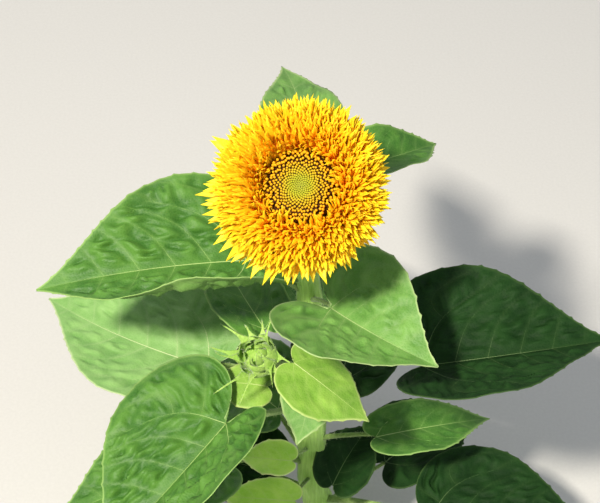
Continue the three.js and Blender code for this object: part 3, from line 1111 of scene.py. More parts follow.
@dataclass(frozen=True)
class Hairs:
    """Short stiff hairs that stand on limbs: thin three-sided spikes in one mesh.

    Real ones are a tenth of a millimetre thick, and are drawn twice as thick so that they show.

    Attributes:
        length: Shortest and longest hair in mm.
        thickness: Radius of a hair's root in mm.
        point: How much thinner a hair is at its tip, as a share.
        depth: How deep its root stands in the skin, in mm.
        lean: How far it leans along the limb beside how far it stands out.
        scatter: How far it strays from that lean.
    """

    length: tuple[float, float] = (1.0, 2.4)
    thickness: float = 0.14
    point: float = 0.92
    depth: float = 0.1
    lean: float = 0.45
    scatter: float = 0.22

    def on_limb(self, limb: Limb, count: int, draw: Draw) -> tuple[Array, Array]:
        """Scatters roots and directions over a limb's skin.

        Args:
            limb: The limb that carries the hairs.
            count: How many hairs.
            draw: The source of random numbers.

        Returns:
            Roots and directions, each of shape (count, 3).
        """
        share = draw.uniform(0.01, 0.99, count)
        angle = draw.uniform(0, 2 * math.pi, count)
        root = limb.skin(share, angle, -self.depth)
        out = unit(limb.skin(share, angle, 1.0) - root)
        lean = out + self.lean * limb.spine.along(share) + draw.normal(0, self.scatter, (count, 3))
        return root, unit(lean)

    def build(self, name: str, roots: Array, ways: Array, draw: Draw,
              material: Material) -> Piece:
        """Models all the hairs as one mesh.

        Args:
            name: Name of the new object.
            roots: Roots of the hairs.
            ways: Directions of the hairs.
            draw: The source of random numbers.
            material: The hairs' finish.

        Returns:
            The new object.
        """
        spike = Template.prism(3, 1)
        lengths = draw.uniform(*self.length, len(roots))[:, None, None]
        first = unit(np.cross(ways, ODD_WAY))
        second = np.cross(ways, first)
        size = self.thickness * (1 - self.point * spike.share)[None, :, None]
        places = (roots[:, None, :] + ways[:, None, :] * spike.share[None, :, None] * lengths
                  + first[:, None, :] * spike.across[None, :, None] * size
                  + second[:, None, :] * spike.through[None, :, None] * size)
        piece = spike.copies(name, places)
        piece.data.materials.append(material)
        return piece


# Leaves.

BLADE_NOTCH = (-0.015, 0.05)
BLADE_TIP = (1, 0.012)
BLADE_WIDEST = 0.34
LOBE_DRAW = 0.4
LOBE_HANDLES = ((1.25, 0.22), (1, 0.98))
TIP_HANDLES = ((0.45, 1.02), (0.7, 0.2))
STALK_TAPER = (1.45, 1.05, 0.9, 0.7)
STALK_SLENDERNESS = 45
STALK_SIZES = (1.9, 3.4)
STALK_SHOULDER = 0.45
STALK_RISE = 0.12
STALK_OVERLAP = 0.07
STALK_INSET = 0.4
STALK_THINNESS = 0.86  # the ridged stalk's radii beside the source's
TYPICAL_LENGTH = 150  # mm; a blade this long has veins of the typical width
OUTLINE_SAMPLES = 200
MARGIN_SAMPLES = 160
MARGIN_LENGTH = 1.35  # length of half a margin beside the blade's
GRID_LENGTH = 1.25  # length that the blade's rows of faces are counted for, beside the blade's
LARGE_LEAF = 100  # mm; a longer blade has the slot of the full-grown leaves
FAR_MM = 1000.0
LEAST_CURL = 1e-5  # radians; a flat half counts as curled by this, so that nothing is divided by 0
UP = np.array([0.0, 0.0, 1.0])


def bow_at(share: Array) -> Array:
    """How far a bow stands above its chord, as a share of its height."""
    return 4 * share * (1 - share)


@dataclass(frozen=True)
class Leaf:
    """One leaf, with the source's own sizes, in mm and degrees.

    Attributes:
        name: Name of the leaf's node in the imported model.
        node: Height of its node on the main stem, or its share of the way up the bud's branch.
        foot: Place where the blade meets the stalk.
        compass: Direction of the midrib's chord.
        slope: Slope of that chord.
        length: Length of the blade.
        reach: Reach of the left and right half to the side.
        arch: Bow of the midrib above its chord.
        sweep: Bow of the midrib to the left.
        lobe: Reach of the two basal lobes behind the foot, as a share of the length.
        fold: How far each half folds up at the midrib.
        curl: How much further each half has turned up at its margin.
        tone: The blade's green.
        pucker: Height of the puckers between the veins.
        roll: Roll of the whole blade, right half downwards.
        wave: Height of the margin's waves.
    """

    name: str
    node: float
    foot: tuple[float, float, float]
    compass: float
    slope: float
    length: float
    reach: tuple[float, float]
    arch: float
    sweep: float
    lobe: tuple[float, float]
    fold: tuple[float, float]
    curl: tuple[float, float] = (0, 0)
    tone: Tone = Tone.MIDDLE
    pucker: float = 1.0
    roll: float = 0.0
    wave: float = 1.0

    @property
    def on_branch(self) -> bool:
        """Whether the leaf stands on the bud's branch and not on the main stem."""
        return self.node < 1


# Leaves of the deep green wear painted shade; the two of the lime green wear partly painted light.
LEAVES = (
    Leaf("leaf_upper_left", 352, (-69, -7, 402), 191, 0, 160, (73, 73), 8, 2, (0.28, 0.28), (2, 26), (74, 0),
         pucker=1.8),
    Leaf("leaf_upper_right_front", 345, (-5, -51, 397), 323, 1, 96, (58, 72), 7, -7, (0.4, 0.44), (24, 16),
         (10, 20), Tone.PALE, 0.9),
    Leaf("leaf_back_tall", 400, (-26, 58, 452), 97, -14, 150, (35, 35), 4, -6, (0.14, 0.14), (8, 4),
         tone=Tone.PALE),
    Leaf("leaf_back_right", 385, (9, 60, 432), 38, -15, 96, (31, 31), 7, -7, (0.14, 0.14), (24, 20), (8, 8)),
    Leaf("leaf_under_upper_left", 310, (-56, -13, 328), 113, -6, 110, (32, 32), 4, 3, (0.12, 0.12), (16, 12),
         pucker=0.7),
    Leaf("leaf_right", 268, (67, -48, 325), 7, 4, 150, (79, 79), 4, -4, (0.21, 0.21), (17, 31), (10, 0),
         Tone.DEEP, 1.3),
    Leaf("leaf_left", 232, (-103, -9, 276), 149, -4, 164, (62, 74), 4, 8, (0.2, 0.12), (8, 16), (14, 0),
         Tone.SOFT, 0.8, -6),
    Leaf("leaf_lower_left_front", 200, (-86, -79, 292), 224, -22, 144, (84, 80), 6, 4, (0.24, 0.3), (38, 14),
         (12, -14), Tone.MIDDLE, 2.0),
    Leaf("leaf_behind_bud", 0.45, (-54, -39, 288), 170, -10, 48, (21, 21), 6, 2, (0.12, 0.12), (-12, 10),
         (-12, 0), Tone.YOUNG, 0.5),
    Leaf("leaf_small_front", 305, (-33, -65, 350), 331, -26, 73, (34, 34), 4, -2, (0.15, 0.15), (-8, 2),
         (-8, 0), Tone.YOUNG, 0.5, wave=0.5),
    Leaf("leaf_small_lower_front", 272, (-21, -44, 302), 256, -36, 52, (22, 22), 3, 3, (0.16, 0.16), (10, 10),
         tone=Tone.PALE, pucker=0.4),
    Leaf("leaf_foot_right", 105, (0, -32, 142), 62, -2, 78, (28, 28), 2, 2, (0.16, 0.16), (30, 6), (10, 0),
         Tone.DEEP, 0.6),
    Leaf("leaf_low_right", 160, (36, -22, 198), 20, -12, 110, (28, 28), 9, -5, (0.1, 0.1), (14, 8)),
    Leaf("leaf_low_right_front", 75, (84, -56, 124), 357, -5, 150, (75, 75), 5, -2, (0.12, 0.12), (8, 12),
         (2, 0), Tone.DEEP, 1.2),
    Leaf("leaf_low_left_pale", 110, (-33, -50, 144), 172, -4, 68, (22, 22), 4, 3, (0.12, 0.12), (4, 4),
         tone=Tone.LIME, pucker=0.9),
    Leaf("leaf_low_left_small", 150, (-35, -36, 183), 172, -2, 48, (19, 19), 4, 3, (0.12, 0.12), (8, 8),
         tone=Tone.LIME, pucker=0.6),
    Leaf("leaf_lower_left_back", 130, (-104, -32, 176), 200, -7, 140, (56, 56), 6, 0, (0.19, 0.19), (12, 12),
         pucker=1.2),
    Leaf("leaf_back_mid", 215, (-6, 64, 252), 92, -8, 140, (56, 56), 8, 4, (0.2, 0.2), (14, 12), (6, 0),
         pucker=1.4),
    Leaf("leaf_back_low", 140, (8, 62, 168), 82, -8, 132, (52, 52), 7, -3, (0.18, 0.18), (12, 14),
         tone=Tone.DEEP, pucker=1.2),
    Leaf("leaf_back_low_left", 120, (-48, 48, 146), 132, -10, 132, (53, 53), 7, 3, (0.18, 0.18), (12, 12),
         (0, 6), pucker=1.2),
    Leaf("leaf_foot_left", 80, (-56, 10, 104), 168, -8, 124, (49, 49), 6, -3, (0.18, 0.18), (10, 14),
         tone=Tone.DEEP, pucker=1.2),
    Leaf("leaf_foot_back_right", 60, (50, 34, 84), 36, -6, 110, (45, 45), 6, 3, (0.18, 0.18), (12, 10),
         tone=Tone.DEEP),
    Leaf("leaf_foot_front_left", 62, (-34, -62, 82), 242, -8, 118, (49, 49), 6, -3, (0.18, 0.18), (12, 12),
         pucker=1.2),
    Leaf("leaf_foot_front_right", 50, (30, -66, 66), 296, -6, 112, (46, 46), 6, 3, (0.18, 0.18), (12, 12),
         tone=Tone.DEEP, pucker=1.2),
)


def cubic(points: Sequence[Sequence[float]]) -> Array:
    """Samples a cubic Bezier curve.

    Args:
        points: Its start, its two handles and its end.

    Returns:
        Places of shape (OUTLINE_SAMPLES, 2).
    """
    share = np.linspace(0, 1, OUTLINE_SAMPLES)[:, None]
    rest = 1 - share
    a, b, c, d = (np.array(point, float) for point in points)
    return rest**3 * a + 3 * share * rest**2 * b + 3 * share**2 * rest * c + share**3 * d


@dataclass(frozen=True)
class Outline:
    """Half of a blade's outline for length 1 and half-width 1, from the notch to the tip.

    Attributes:
        points: Places along and across the blade.
        shares: Share of the outline's length at each of them.
    """

    points: Array
    shares: Array

    @classmethod
    def of_lobe(cls, lobe: float) -> "Outline":
        """Draws the outline with a basal lobe.

        Args:
            lobe: Reach of the lobe behind the foot, as a share of the blade's length.

        Returns:
            The outline.
        """
        widest = BLADE_WIDEST - LOBE_DRAW * lobe
        back = [(-away * lobe, out) for away, out in LOBE_HANDLES]
        ahead = [(widest + on * (1 - widest), out) for on, out in TIP_HANDLES]
        line = np.vstack([cubic([BLADE_NOTCH, *back, (widest, 1)])[:-1],
                          cubic([(widest, 1), *ahead, BLADE_TIP])])
        lengths = np.concatenate([[0], np.cumsum(np.linalg.norm(np.diff(line, axis=0), axis=1))])
        return cls(line, lengths / lengths[-1])

    def at(self, share: Array) -> tuple[Array, Array]:
        """Places along and across the blade at shares of the outline's length."""
        run, out = self.points.T
        return np.interp(share, self.shares, run), np.interp(share, self.shares, out)

    def holds(self, run: Array, out: Array) -> Array:
        """Finds the points that lie inside the half blade.

        Args:
            run: Shares of the length.
            out: Shares of the half-width.

        Returns:
            True for each point inside.
        """
        ring = np.vstack([self.points, [(1, 0), (0, 0)]])
        inside = np.zeros(len(run), bool)
        for (x0, y0), (x1, y1) in zip(ring, np.roll(ring, -1, axis=0)):
            crosses = (y0 > out) != (y1 > out)
            reach = x0 + (out - y0) * (x1 - x0) / np.where(y1 == y0, 1e-12, y1 - y0)
            inside ^= crosses & (run < reach)
        return inside


@dataclass(frozen=True)
class VeinPlan:
    """How a blade's veins lie, in shares of its length (run) and of its half-width (out).

    Lateral veins leave the midrib at even steps and arch towards the tip. The first pair leaves
    at the foot and is the strongest, and carries branches of its own that run into the lobes.

    Attributes:
        spacing: Step between laterals along the midrib.
        lean: How far ahead a lateral runs as it goes out.
        bend: How much more ahead it runs near the margin.
        lobe_spacing: Step between the first lateral's own branches.
        lobe_lean: How far out those branches run as they go back.
        count: How many pairs of laterals there are.
    """

    spacing: float = 0.17
    lean: float = 0.22
    bend: float = 0.85
    lobe_spacing: float = 0.24
    lobe_lean: float = 0.9
    count: int = 5

    def ahead(self, out: Array) -> Array:
        """How far ahead of its start a lateral is once it has gone out."""
        return self.lean * out + self.bend * out**4

    def bands(self, run: Array, out: Array) -> tuple[Array, Array, Array, Array]:
        """Where points lie between the veins.

        Args:
            run: Shares of the length.
            out: Shares of the half-width.

        Returns:
            Number of the band between two veins, share of the way across it, its width as a
            share of the length, and whether it lies in a lobe.
        """
        phase = (run - self.ahead(out)) / self.spacing
        behind = self.ahead(out) - run
        lobe_phase = (out - self.lobe_lean * behind) / self.lobe_spacing
        in_lobe = phase < 0
        used = np.where(in_lobe, lobe_phase, phase)
        number = np.floor(used) + np.where(in_lobe, 20, 0)
        width = np.where(in_lobe, self.lobe_spacing * 0.5, self.spacing)
        return number, used - np.floor(used), width, in_lobe


VEINS = VeinPlan()


@dataclass(frozen=True)
class Puckers:
    """How a blade rises and falls between its veins, in mm for a leaf whose pucker is 1.

    Attributes:
        fold: Distance from a pucker's crown to the next hollow along a lateral vein.
        rows: How many puckers lie side by side between two laterals.
        stray: How far their rows stray to the side.
        stray_step: Distance over which they stray.
        vault: Height of a pucker, and how far single puckers differ from it.
        swell: Height of the broader swellings beside a vein, and how much more between veins.
        swell_step: Size of those swellings.
        sink: How far the whole lies below the plain surface.
        rim: Distances from the margin between which the puckers grow.
        rib: The same from the midrib.
        buckle: Height of the slow buckles.
        buckle_step: Their size along and across the blade.
        buckle_rib: Distances from the midrib between which they grow.
        waves: How many waves the margin has.
        wave_shift: How far the two halves' waves are apart, as a share of one.
        band_shift: Steps in the clouds from band to band, so that no two bands are alike.
        half_shift: The same from half to half.
    """

    fold: float = 3.3
    rows: float = 2.3
    stray: float = 3
    stray_step: float = 12
    vault: tuple[float, float] = (0.6, 2.3)
    swell: tuple[float, float] = (0.4, 0.9)
    swell_step: float = 9
    sink: float = 0.35
    rim: tuple[float, float] = (0.5, 10)
    rib: tuple[float, float] = (2, 13)
    buckle: float = 1.1
    buckle_step: tuple[float, float] = (21, 19)
    buckle_rib: tuple[float, float] = (2, 16)
    waves: float = 2.6
    wave_shift: float = 0.35
    band_shift: tuple[float, float] = (13, 7)
    half_shift: float = 40.0


PUCKERS = Puckers()


@dataclass(frozen=True)
class BladeSurface:
    """The surface of one leaf's blade, laid by the source's rule and puckered between its veins.

    Attributes:
        leaf: The leaf's sizes.
    """

    leaf: Leaf

    @property
    def axes(self) -> tuple[Array, Array, Array]:
        """The directions along the midrib, out of the upper face and to the left.

        Returns:
            Three directions of length 1.
        """
        compass, slope = math.radians(self.leaf.compass), math.radians(self.leaf.slope)
        level = math.cos(slope)
        ahead = np.array([level * math.cos(compass), level * math.sin(compass), math.sin(slope)])
        face = turn_about(ahead, math.radians(self.leaf.roll)) @ unit(UP - ahead * (ahead @ UP))
        return ahead, face, np.cross(face, ahead)

    def from_margin(self, run: Array, out: Array, half: Array) -> Array:
        """Measures how far points on the flat blade are from its margin.

        Args:
            run: Shares of the length.
            out: Shares of the half-width.
            half: 0 on the left half and 1 on the right half.

        Returns:
            Distances in mm.
        """
        nearest = np.zeros(len(run))
        for side, (lobe, reach) in enumerate(zip(self.leaf.lobe, self.leaf.reach)):
            along, across = Outline.of_lobe(lobe).at(np.linspace(0, 1, MARGIN_SAMPLES))
            here = half == side
            along_gap = (run[here, None] - along) * self.leaf.length
            across_gap = (out[here, None] - across) * reach
            nearest[here] = np.hypot(along_gap, across_gap).min(axis=1, initial=FAR_MM)
        return nearest

    def relief(self, run: Array, out: Array, half: Array) -> Array:
        """Height in mm of the puckers and waves above the plain surface.

        Args:
            run: Shares of the length.
            out: Shares of the half-width.
            half: 0 on the left half and 1 on the right half.

        Returns:
            Heights of the puckers and waves together.
        """
        leaf, form = self.leaf, PUCKERS
        along_mm, away_mm = run * leaf.length, out * np.where(half == 0, leaf.reach[0], leaf.reach[1])
        seed = round(leaf.compass)
        number, share, _, lobe = VEINS.bands(run, out)
        side = form.half_shift * half
        stray = cloud(along_mm / form.stray_step + side, away_mm / form.stray_step, seed)
        course = np.where(lobe, along_mm, away_mm) + form.stray * stray
        fine = cloud(course / form.fold + form.band_shift[0] * number + side,
                     form.rows * share + form.band_shift[1] * number, seed + 1)
        coarse = cloud(along_mm / form.swell_step + side, away_mm / form.swell_step + 0.4, seed + 3)
        near_first = smooth_step(0.0, 0.05, np.abs(run - VEINS.ahead(out)))
        vault = smooth_step(0.05, 0.8, np.abs(np.sin(math.pi * share))) * near_first
        calm = smooth_step(*form.rim, self.from_margin(run, out, half)) * smooth_step(*form.rib, away_mm)
        quilt = vault * (form.vault[0] + form.vault[1] * fine)
        quilt = quilt + (form.swell[0] + form.swell[1] * vault) * coarse - form.sink
        slow = cloud(along_mm / form.buckle_step[0] + side, away_mm / form.buckle_step[1], seed + 2)
        buckle = form.buckle * slow * smooth_step(*form.buckle_rib, away_mm)
        phase = 2 * math.pi * (form.waves * run + form.wave_shift * half) + leaf.compass
        return leaf.pucker * calm * quilt + buckle + leaf.wave * np.sin(phase) * out**2

    def place(self, run: Array, out: Array, half: Array, lift_mm: Array | float = 0.0) -> Array:
        """Places on the blade, or above it.

        Args:
            run: Shares of the length.
            out: Shares of the half-width.
            half: 0 on the left half and 1 on the right half.
            lift_mm: Height above the plain surface.

        Returns:
            Places in mm, of shape (n, 3).
        """
        leaf = self.leaf
        ahead, face, left = self.axes
        side = np.where(half == 0, 1.0, -1.0)
        reach = np.where(half == 0, leaf.reach[0], leaf.reach[1])
        fold = np.radians(np.where(half == 0, leaf.fold[0], leaf.fold[1]))
        curl = np.radians(np.where(half == 0, leaf.curl[0], leaf.curl[1]))
        curl = np.where(np.abs(curl) < LEAST_CURL, LEAST_CURL, curl)
        turn = fold + curl * out
        across = (np.sin(turn) - np.sin(fold)) / curl * reach
        rise = (np.cos(fold) - np.cos(turn)) / curl * reach
        bow = bow_at(run)
        tilt = turn * smooth_step(0, 3, out * reach)
        sideways = side * (across - lift_mm * np.sin(tilt)) + leaf.sweep * bow
        upwards = rise + leaf.arch * bow + lift_mm * np.cos(tilt)
        return (np.array(leaf.foot) + (run * leaf.length)[:, None] * ahead
                + sideways[:, None] * left + upwards[:, None] * face)


@dataclass(frozen=True)
class VeinLine:
    """Where one vein runs on a blade.

    Attributes:
        run: Shares of the blade's length along it.
        out: Shares of the half-width along it.
        half: 0 on the left half and 1 on the right half.
        radii: Half of its width at its start and at its end, in mm.
    """

    run: Array
    out: Array
    half: int
    radii: tuple[float, float]


@dataclass(frozen=True)
class LeafModel:
    """One leaf: its puckered blade with teeth, its veins and its stalk.

    Attributes:
        leaf: The leaf's sizes.
        stem: The stem that the leaf stands on.
        palette: The plant's finishes.
        cell: Size of the blade's faces in mm, where it is strongly puckered.
        coarse_cell: How much larger they are on the other leaves.
        thickness: Thickness of the blade in mm.
        tooth: Distance from tooth to tooth along the margin in mm.
        tooth_depth: Depth of the teeth in mm.
        tooth_width: Half of a tooth's width as a share of that distance.
        tooth_stray: How far the teeth stray from even distances, as a share.
        crown: Highest and lowest relief that the finish paints as shade in the hollows and as light on the
            crowns, in mm.
        proud: How far veins stand out above and below the blade, as a share of their radius.
    """

    leaf: Leaf
    stem: Stem
    palette: Palette
    cell: float = 1.5
    coarse_cell: float = 1.3
    thickness: float = 0.55
    tooth: float = 9.5
    tooth_depth: float = 1.4
    tooth_width: float = 0.17
    tooth_stray: float = 0.3
    crown: float = 1.5
    proud: tuple[float, float] = (0.3, 0.9)

    def teeth(self, across: Array, share: Array) -> Array:
        """Works out how far teeth push the margin out, with less at the foot and the tip.

        Args:
            across: Shares of the way from the midrib to the margin.
            share: Shares of the way along the margin.

        Returns:
            Distances in mm.
        """
        margin_mm = share * MARGIN_LENGTH * self.leaf.length
        saw = (margin_mm / self.tooth + self.tooth_stray * np.sin(0.11 * margin_mm)) % 1.0
        bite = np.clip(1 - np.abs(saw - 0.5) / self.tooth_width, 0, 1)
        near_margin = across**12 * smooth_step(0.08, 0.25, share) * smooth_step(1.0, 0.93, share)
        return self.tooth_depth * bite * near_margin

    def blade(self) -> Piece:
        """Models the blade as a thin puckered shell with a toothed margin.

        Returns:
            The blade, with the blade attribute that its finish reads.
        """
        leaf, surface = self.leaf, BladeSurface(self.leaf)
        cell = self.cell if leaf.pucker > 1 else self.coarse_cell * self.cell
        piece = grid(leaf.name + "_blade", 2 * round(max(leaf.reach) / cell),
                     round(leaf.length * GRID_LENGTH / cell))
        flat = coordinates(piece)
        across, share = np.abs(flat[:, 0]), (flat[:, 1] + 1) / 2
        half = (flat[:, 0] > 0).astype(int)
        edge = [Outline.of_lobe(lobe).at(share) for lobe in leaf.lobe]
        edge_run, edge_out = (np.where(half == 0, edge[0][i], edge[1][i]) for i in (0, 1))
        reach = np.where(half == 0, leaf.reach[0], leaf.reach[1])
        tooth_mm = self.teeth(across, share)
        run = share**2 + (edge_run - share**2) * across + 0.6 * tooth_mm / leaf.length
        out = edge_out * across + 0.8 * tooth_mm / reach
        relief = surface.relief(run, out, half)
        move_vertices(piece, surface.place(run, out, half, relief + self.thickness / 2))
        rim_mm = (1 - across) * edge_out * reach
        _, band, width, _ = VEINS.bands(run, out)
        vein_mm = np.minimum(np.minimum(band, 1 - band) * width * leaf.length * 0.7, out * reach)
        glow = 0.14 * np.exp(-((vein_mm / 1.2) ** 2))
        rim = 0.95 * smooth_step(1.8, 0.2, rim_mm)
        # Painted shade in the puckers' hollows and painted light on their crowns, from the relief's height.
        crown = 0.1 * np.clip(relief, -self.crown, self.crown)
        mark(piece, "blade", np.stack([np.maximum(glow, rim), rim_mm, crown], axis=-1))
        piece.data.materials.append(self.palette.leaves[leaf.tone])
        piece.data.materials.append(self.palette.undersides[leaf.tone])
        apply_modifier(piece, "SOLIDIFY", thickness=self.thickness * MM, offset=-1.0, material_offset=1)
        return piece

    def laterals(self, half: int) -> list[VeinLine]:
        """Works out where a half blade's lateral veins run, with the branches in its lobe.

        Args:
            half: 0 for the left half and 1 for the right half.

        Returns:
            The veins.
        """
        leaf = self.leaf
        size, outline, lines = leaf.length / TYPICAL_LENGTH, Outline.of_lobe(leaf.lobe[half]), []
        steps, out = np.linspace(0, 1, 26), np.linspace(0.01, 1, 200)
        for number in range(VEINS.count):
            start = number * VEINS.spacing
            inside = outline.holds(start + VEINS.ahead(out), out / 0.95)
            if not inside.any():
                continue
            first = int(np.argmax(inside))
            last = out[first + np.argmin(inside[first:])] if not inside[first:].all() else 1.0
            reached = steps * last
            strength = 0.5 if number == 0 else 0.24 - 0.03 * number
            radii = (strength * size + 0.16, 0.07)
            lines.append(VeinLine(start + VEINS.ahead(reached), reached, half, radii))
        for number in (1, 2, 3):
            behind = np.linspace(0, 0.6, 90)
            away = number * VEINS.lobe_spacing + VEINS.lobe_lean * behind
            inside = outline.holds(VEINS.ahead(away) - behind, away / 0.95)
            last = behind[np.argmin(inside)] if not inside.all() else behind[-1]
            if last < 0.03:
                continue
            back = steps[::2] * last
            away = number * VEINS.lobe_spacing + VEINS.lobe_lean * back
            lines.append(VeinLine(VEINS.ahead(away) - back, away, half, (0.16 * size + 0.12, 0.06)))
        return lines

    def vein(self, vein: VeinLine) -> Piece:
        """Models one vein as a fine tapered ridge through the blade.

        Args:
            vein: Where the vein runs.

        Returns:
            The new object, with the blade attribute that its finish reads.
        """
        surface = BladeSurface(self.leaf)
        count = len(vein.run)
        template = Template.prism(4, count - 1)
        halves = np.full(count, vein.half)
        lift = surface.relief(vein.run, vein.out, halves) + self.thickness / 2
        line = surface.place(vein.run, vein.out, halves, lift - self.thickness / 2)
        top = surface.place(vein.run, vein.out, halves, lift)
        above = unit(surface.place(vein.run, vein.out, halves, lift + 1.0) - top)
        wide = unit(np.cross(unit(np.gradient(line, axis=0)), above))
        index = np.rint(template.share * (count - 1)).astype(int)
        radius = np.linspace(*vein.radii, count)[index]
        proud = np.where(template.through > 0, *self.proud)
        height = self.thickness / 2 + proud * radius
        places = (line[index] + wide[index] * (template.across * radius)[:, None]
                  + above[index] * (template.through * height)[:, None])
        part = template.copies(self.leaf.name + "_vein", places[None])
        strength = np.clip(radius / 0.9, 0, 1)
        mark(part, "blade", np.stack([strength, strength, strength], axis=-1))
        return part

    def veins(self) -> Piece:
        """Models all of the blade's veins.

        Returns:
            The new object.
        """
        along = np.linspace(0.0, 0.97, 40)
        width = 0.55 * (self.leaf.length / TYPICAL_LENGTH) + 0.45
        midrib = VeinLine(along, np.zeros_like(along), 0, (width, 0.15))
        piece = join([self.vein(line) for line in (midrib, *self.laterals(0), *self.laterals(1))])
        piece.data.materials.append(self.palette.veins[self.leaf.tone])
        return piece

    def stalk(self) -> Limb:
        """Lays the stalk from the leaf's node to under the blade's midrib.

        Returns:
            The stalk as a limb.
        """
        leaf, (ahead, face, _) = self.leaf, BladeSurface(self.leaf).axes
        foot = np.array(leaf.foot, float)
        node = self.stem.branch_spine.at(leaf.node)[0] if leaf.on_branch else self.stem.on_stem(leaf.node)
        reach = foot - node
        shoulder = node + STALK_SHOULDER * reach + UP * STALK_RISE * np.linalg.norm(reach)
        end = (foot + ahead * STALK_OVERLAP * leaf.length
               + face * (bow_at(STALK_OVERLAP) * leaf.arch - STALK_INSET - self.thickness))
        size = min(max(leaf.length / STALK_SLENDERNESS, STALK_SIZES[0]), STALK_SIZES[1])
        radii = [radius * size * STALK_THINNESS for radius in STALK_TAPER]
        return Limb(Spine.bowed(node, shoulder, end), radii, ridges=5, relief=0.03, groove=0.22)

    def build(self) -> Limb:
        """Models the leaf whole and fits it to the plant.

        Returns:
            The stalk's limb, for its hairs.
        """
        leaf, limb = self.leaf, self.stalk()
        blade, veins = self.blade(), self.veins()
        stalk = limb.build(leaf.name + "_stalk", *STALK_FACES)
        stalk.data.materials.append(self.palette.stalk)
        whole = join([blade, veins, stalk])
        whole.name = whole.data.name = leaf.name.replace("leaf_", "") + "_leaf"
        shade_smooth(whole)
        fit(whole, "leaf" if leaf.length > LARGE_LEAF else "young_leaf", [leaf.name])
        return limb


# Flower head.

STRAP_OUTLINE = (0.55, 0.95, 1, 0.82, 0.05)
DISC_RADIUS = 25  # mm
TUFT_SIZE = 8  # mm; florets lean together in tufts about this wide
TUFT_CLOUDS = (41, 42)  # the clouds that say how tufts lean up and to the side
TUFT_START = 20  # where in the clouds the axis stands
LOWER_SIDE = -0.5  # a strap's vertices below this height through it are its lower side
GOLDEN_ANGLE = math.radians(137.508)


@dataclass(frozen=True)
class StrapRow:
    """One row of straps round an axis.

    Attributes:
        count: How many straps it has.
        radius: Distance of their roots from the axis in mm.
        height: Height of their roots in mm.
        rise: How steeply they rise, in degrees.
        length: Their length in mm.
        width: Their width in mm.
    """

    count: int
    radius: float
    height: float
    rise: float
    length: float
    width: float


@dataclass(frozen=True)
class StrapForm:
    """What all straps of one kind share.

    Attributes:
        thickness: Thickness in mm.
        bend: How far a strap bends up from root to tip, in radians.
        unrest: How far its slope strays, in degrees.
        groove: Depth of the groove along it, as a share of its width.
        outline: Half-width at even steps from root to tip.
        stray: How far it strays to the side, in radians.
        twist: How far it rolls about its own length, in radians.
        spread: How far its length strays, as a share.
        screw: How far it twists from root to tip, in radians.
        drift: How far its tip strays to the side, as a share of its length.
        swing: How far its direction strays to the side, in radians.
        bend_stray: How far its bend strays, as a share.
        shade: How much nearer to the root's colour its lower side is, as painted shade on the side away from
            the light.
        tuft: How much more than each strap for itself neighbours lean together.
        skew: How much longer the straps on the left are, and shorter those on the right, as a share.
    """

    thickness: float
    bend: float
    unrest: float
    groove: float = 0.12
    outline: Sequence[float] = STRAP_OUTLINE
    stray: float = 0.06
    twist: float = 0.25
    spread: float = 0.1
    screw: float = 0.0
    drift: float = 0.0
    swing: float = 0.1
    bend_stray: float = 0.25
    shade: float = 0.3
    tuft: float = 0.0
    skew: float = 0.0


def lay_straps(
    rows: Sequence[StrapRow], form: StrapForm, template: Template, draw: Draw
) -> tuple[Array, Array]:
    """Lays every strap of several rows round the upright axis, as the source does.

    Args:
        rows: The rows from the outermost to the innermost.
        form: What the straps share.
        template: The strap's template.
        draw: The source of random numbers.

    Returns:
        Places of shape (straps, n, 3) in mm, and marks of the same shape that hold the share from
        root to tip, less on the lower side as painted shade, the rank from 0 outside to 1 inside, and a tint
        from 0 to 1.
    """
    places, marks = [], []
    for number, row in enumerate(rows):
        count = row.count
        stray = partial(draw.uniform, -1, 1, count)  # a number for each strap at each call
        nudge, sway = stray(), stray()
        turns = 2 * math.pi * (np.arange(count) + 0.5 * (number % 2)) / count
        turns = turns + form.stray * stray()
        length = row.length * ((1 + form.spread * nudge) * (1 - form.skew * np.cos(turns)))[:, None]
        bend = form.bend * (1 + form.bend_stray * stray())[:, None]
        share = template.share[None, :]
        size = blend(form.outline, template.share)[None, :]
        angle = bend * share
        wide = template.across[None, :] * size * row.width / 2
        channel = form.groove * row.width * (np.abs(template.across) - 0.5)[None, :] * size
        thick = template.through[None, :] * np.sqrt(size) * form.thickness / 2 + channel
        roll = (form.twist * stray())[:, None]
        roll = roll + (form.screw * stray())[:, None] * share
        aside = wide * np.cos(roll) - thick * np.sin(roll)
        lift = wide * np.sin(roll) + thick * np.cos(roll)
        aside = aside + length * share**2 * (form.drift * stray())[:, None]
        local = np.stack([length * np.sin(angle) / bend - np.sin(angle) * lift, aside,
                          length * (1 - np.cos(angle)) / bend + np.cos(angle) * lift], axis=-1)
        reach = (row.radius + 0.4 * row.length) / TUFT_SIZE
        east, north = reach * np.cos(turns) + TUFT_START, reach * np.sin(turns) + TUFT_START
        up, sideways = (form.tuft * cloud(east, north, seed) for seed in TUFT_CLOUDS)
        slope = -np.radians(row.rise + form.unrest * (sway + up))
        for axis, angles in (("Y", slope), ("Z", form.swing * (stray() + sideways))):
            local = np.einsum("nij,nkj->nki", axis_turns(axis, angles), local)
        local = local + np.array([row.radius, 0, row.height])
        places.append(np.einsum("nij,nkj->nki", axis_turns("Z", turns), local))
        rank = number / max(len(rows) - 1, 1)
        # Painted shade: the lower side takes a colour nearer the root's.
        shaded_share = share * (1 - form.shade * (template.through < LOWER_SIDE))
        tint = draw.uniform(0, 1, count)[:, None]
        shape = (count, share.shape[1])
        marks.append(np.stack([np.broadcast_to(part, shape) for part in (shaded_share, rank, tint)], axis=-1))
    return np.concatenate(places), np.concatenate(marks)


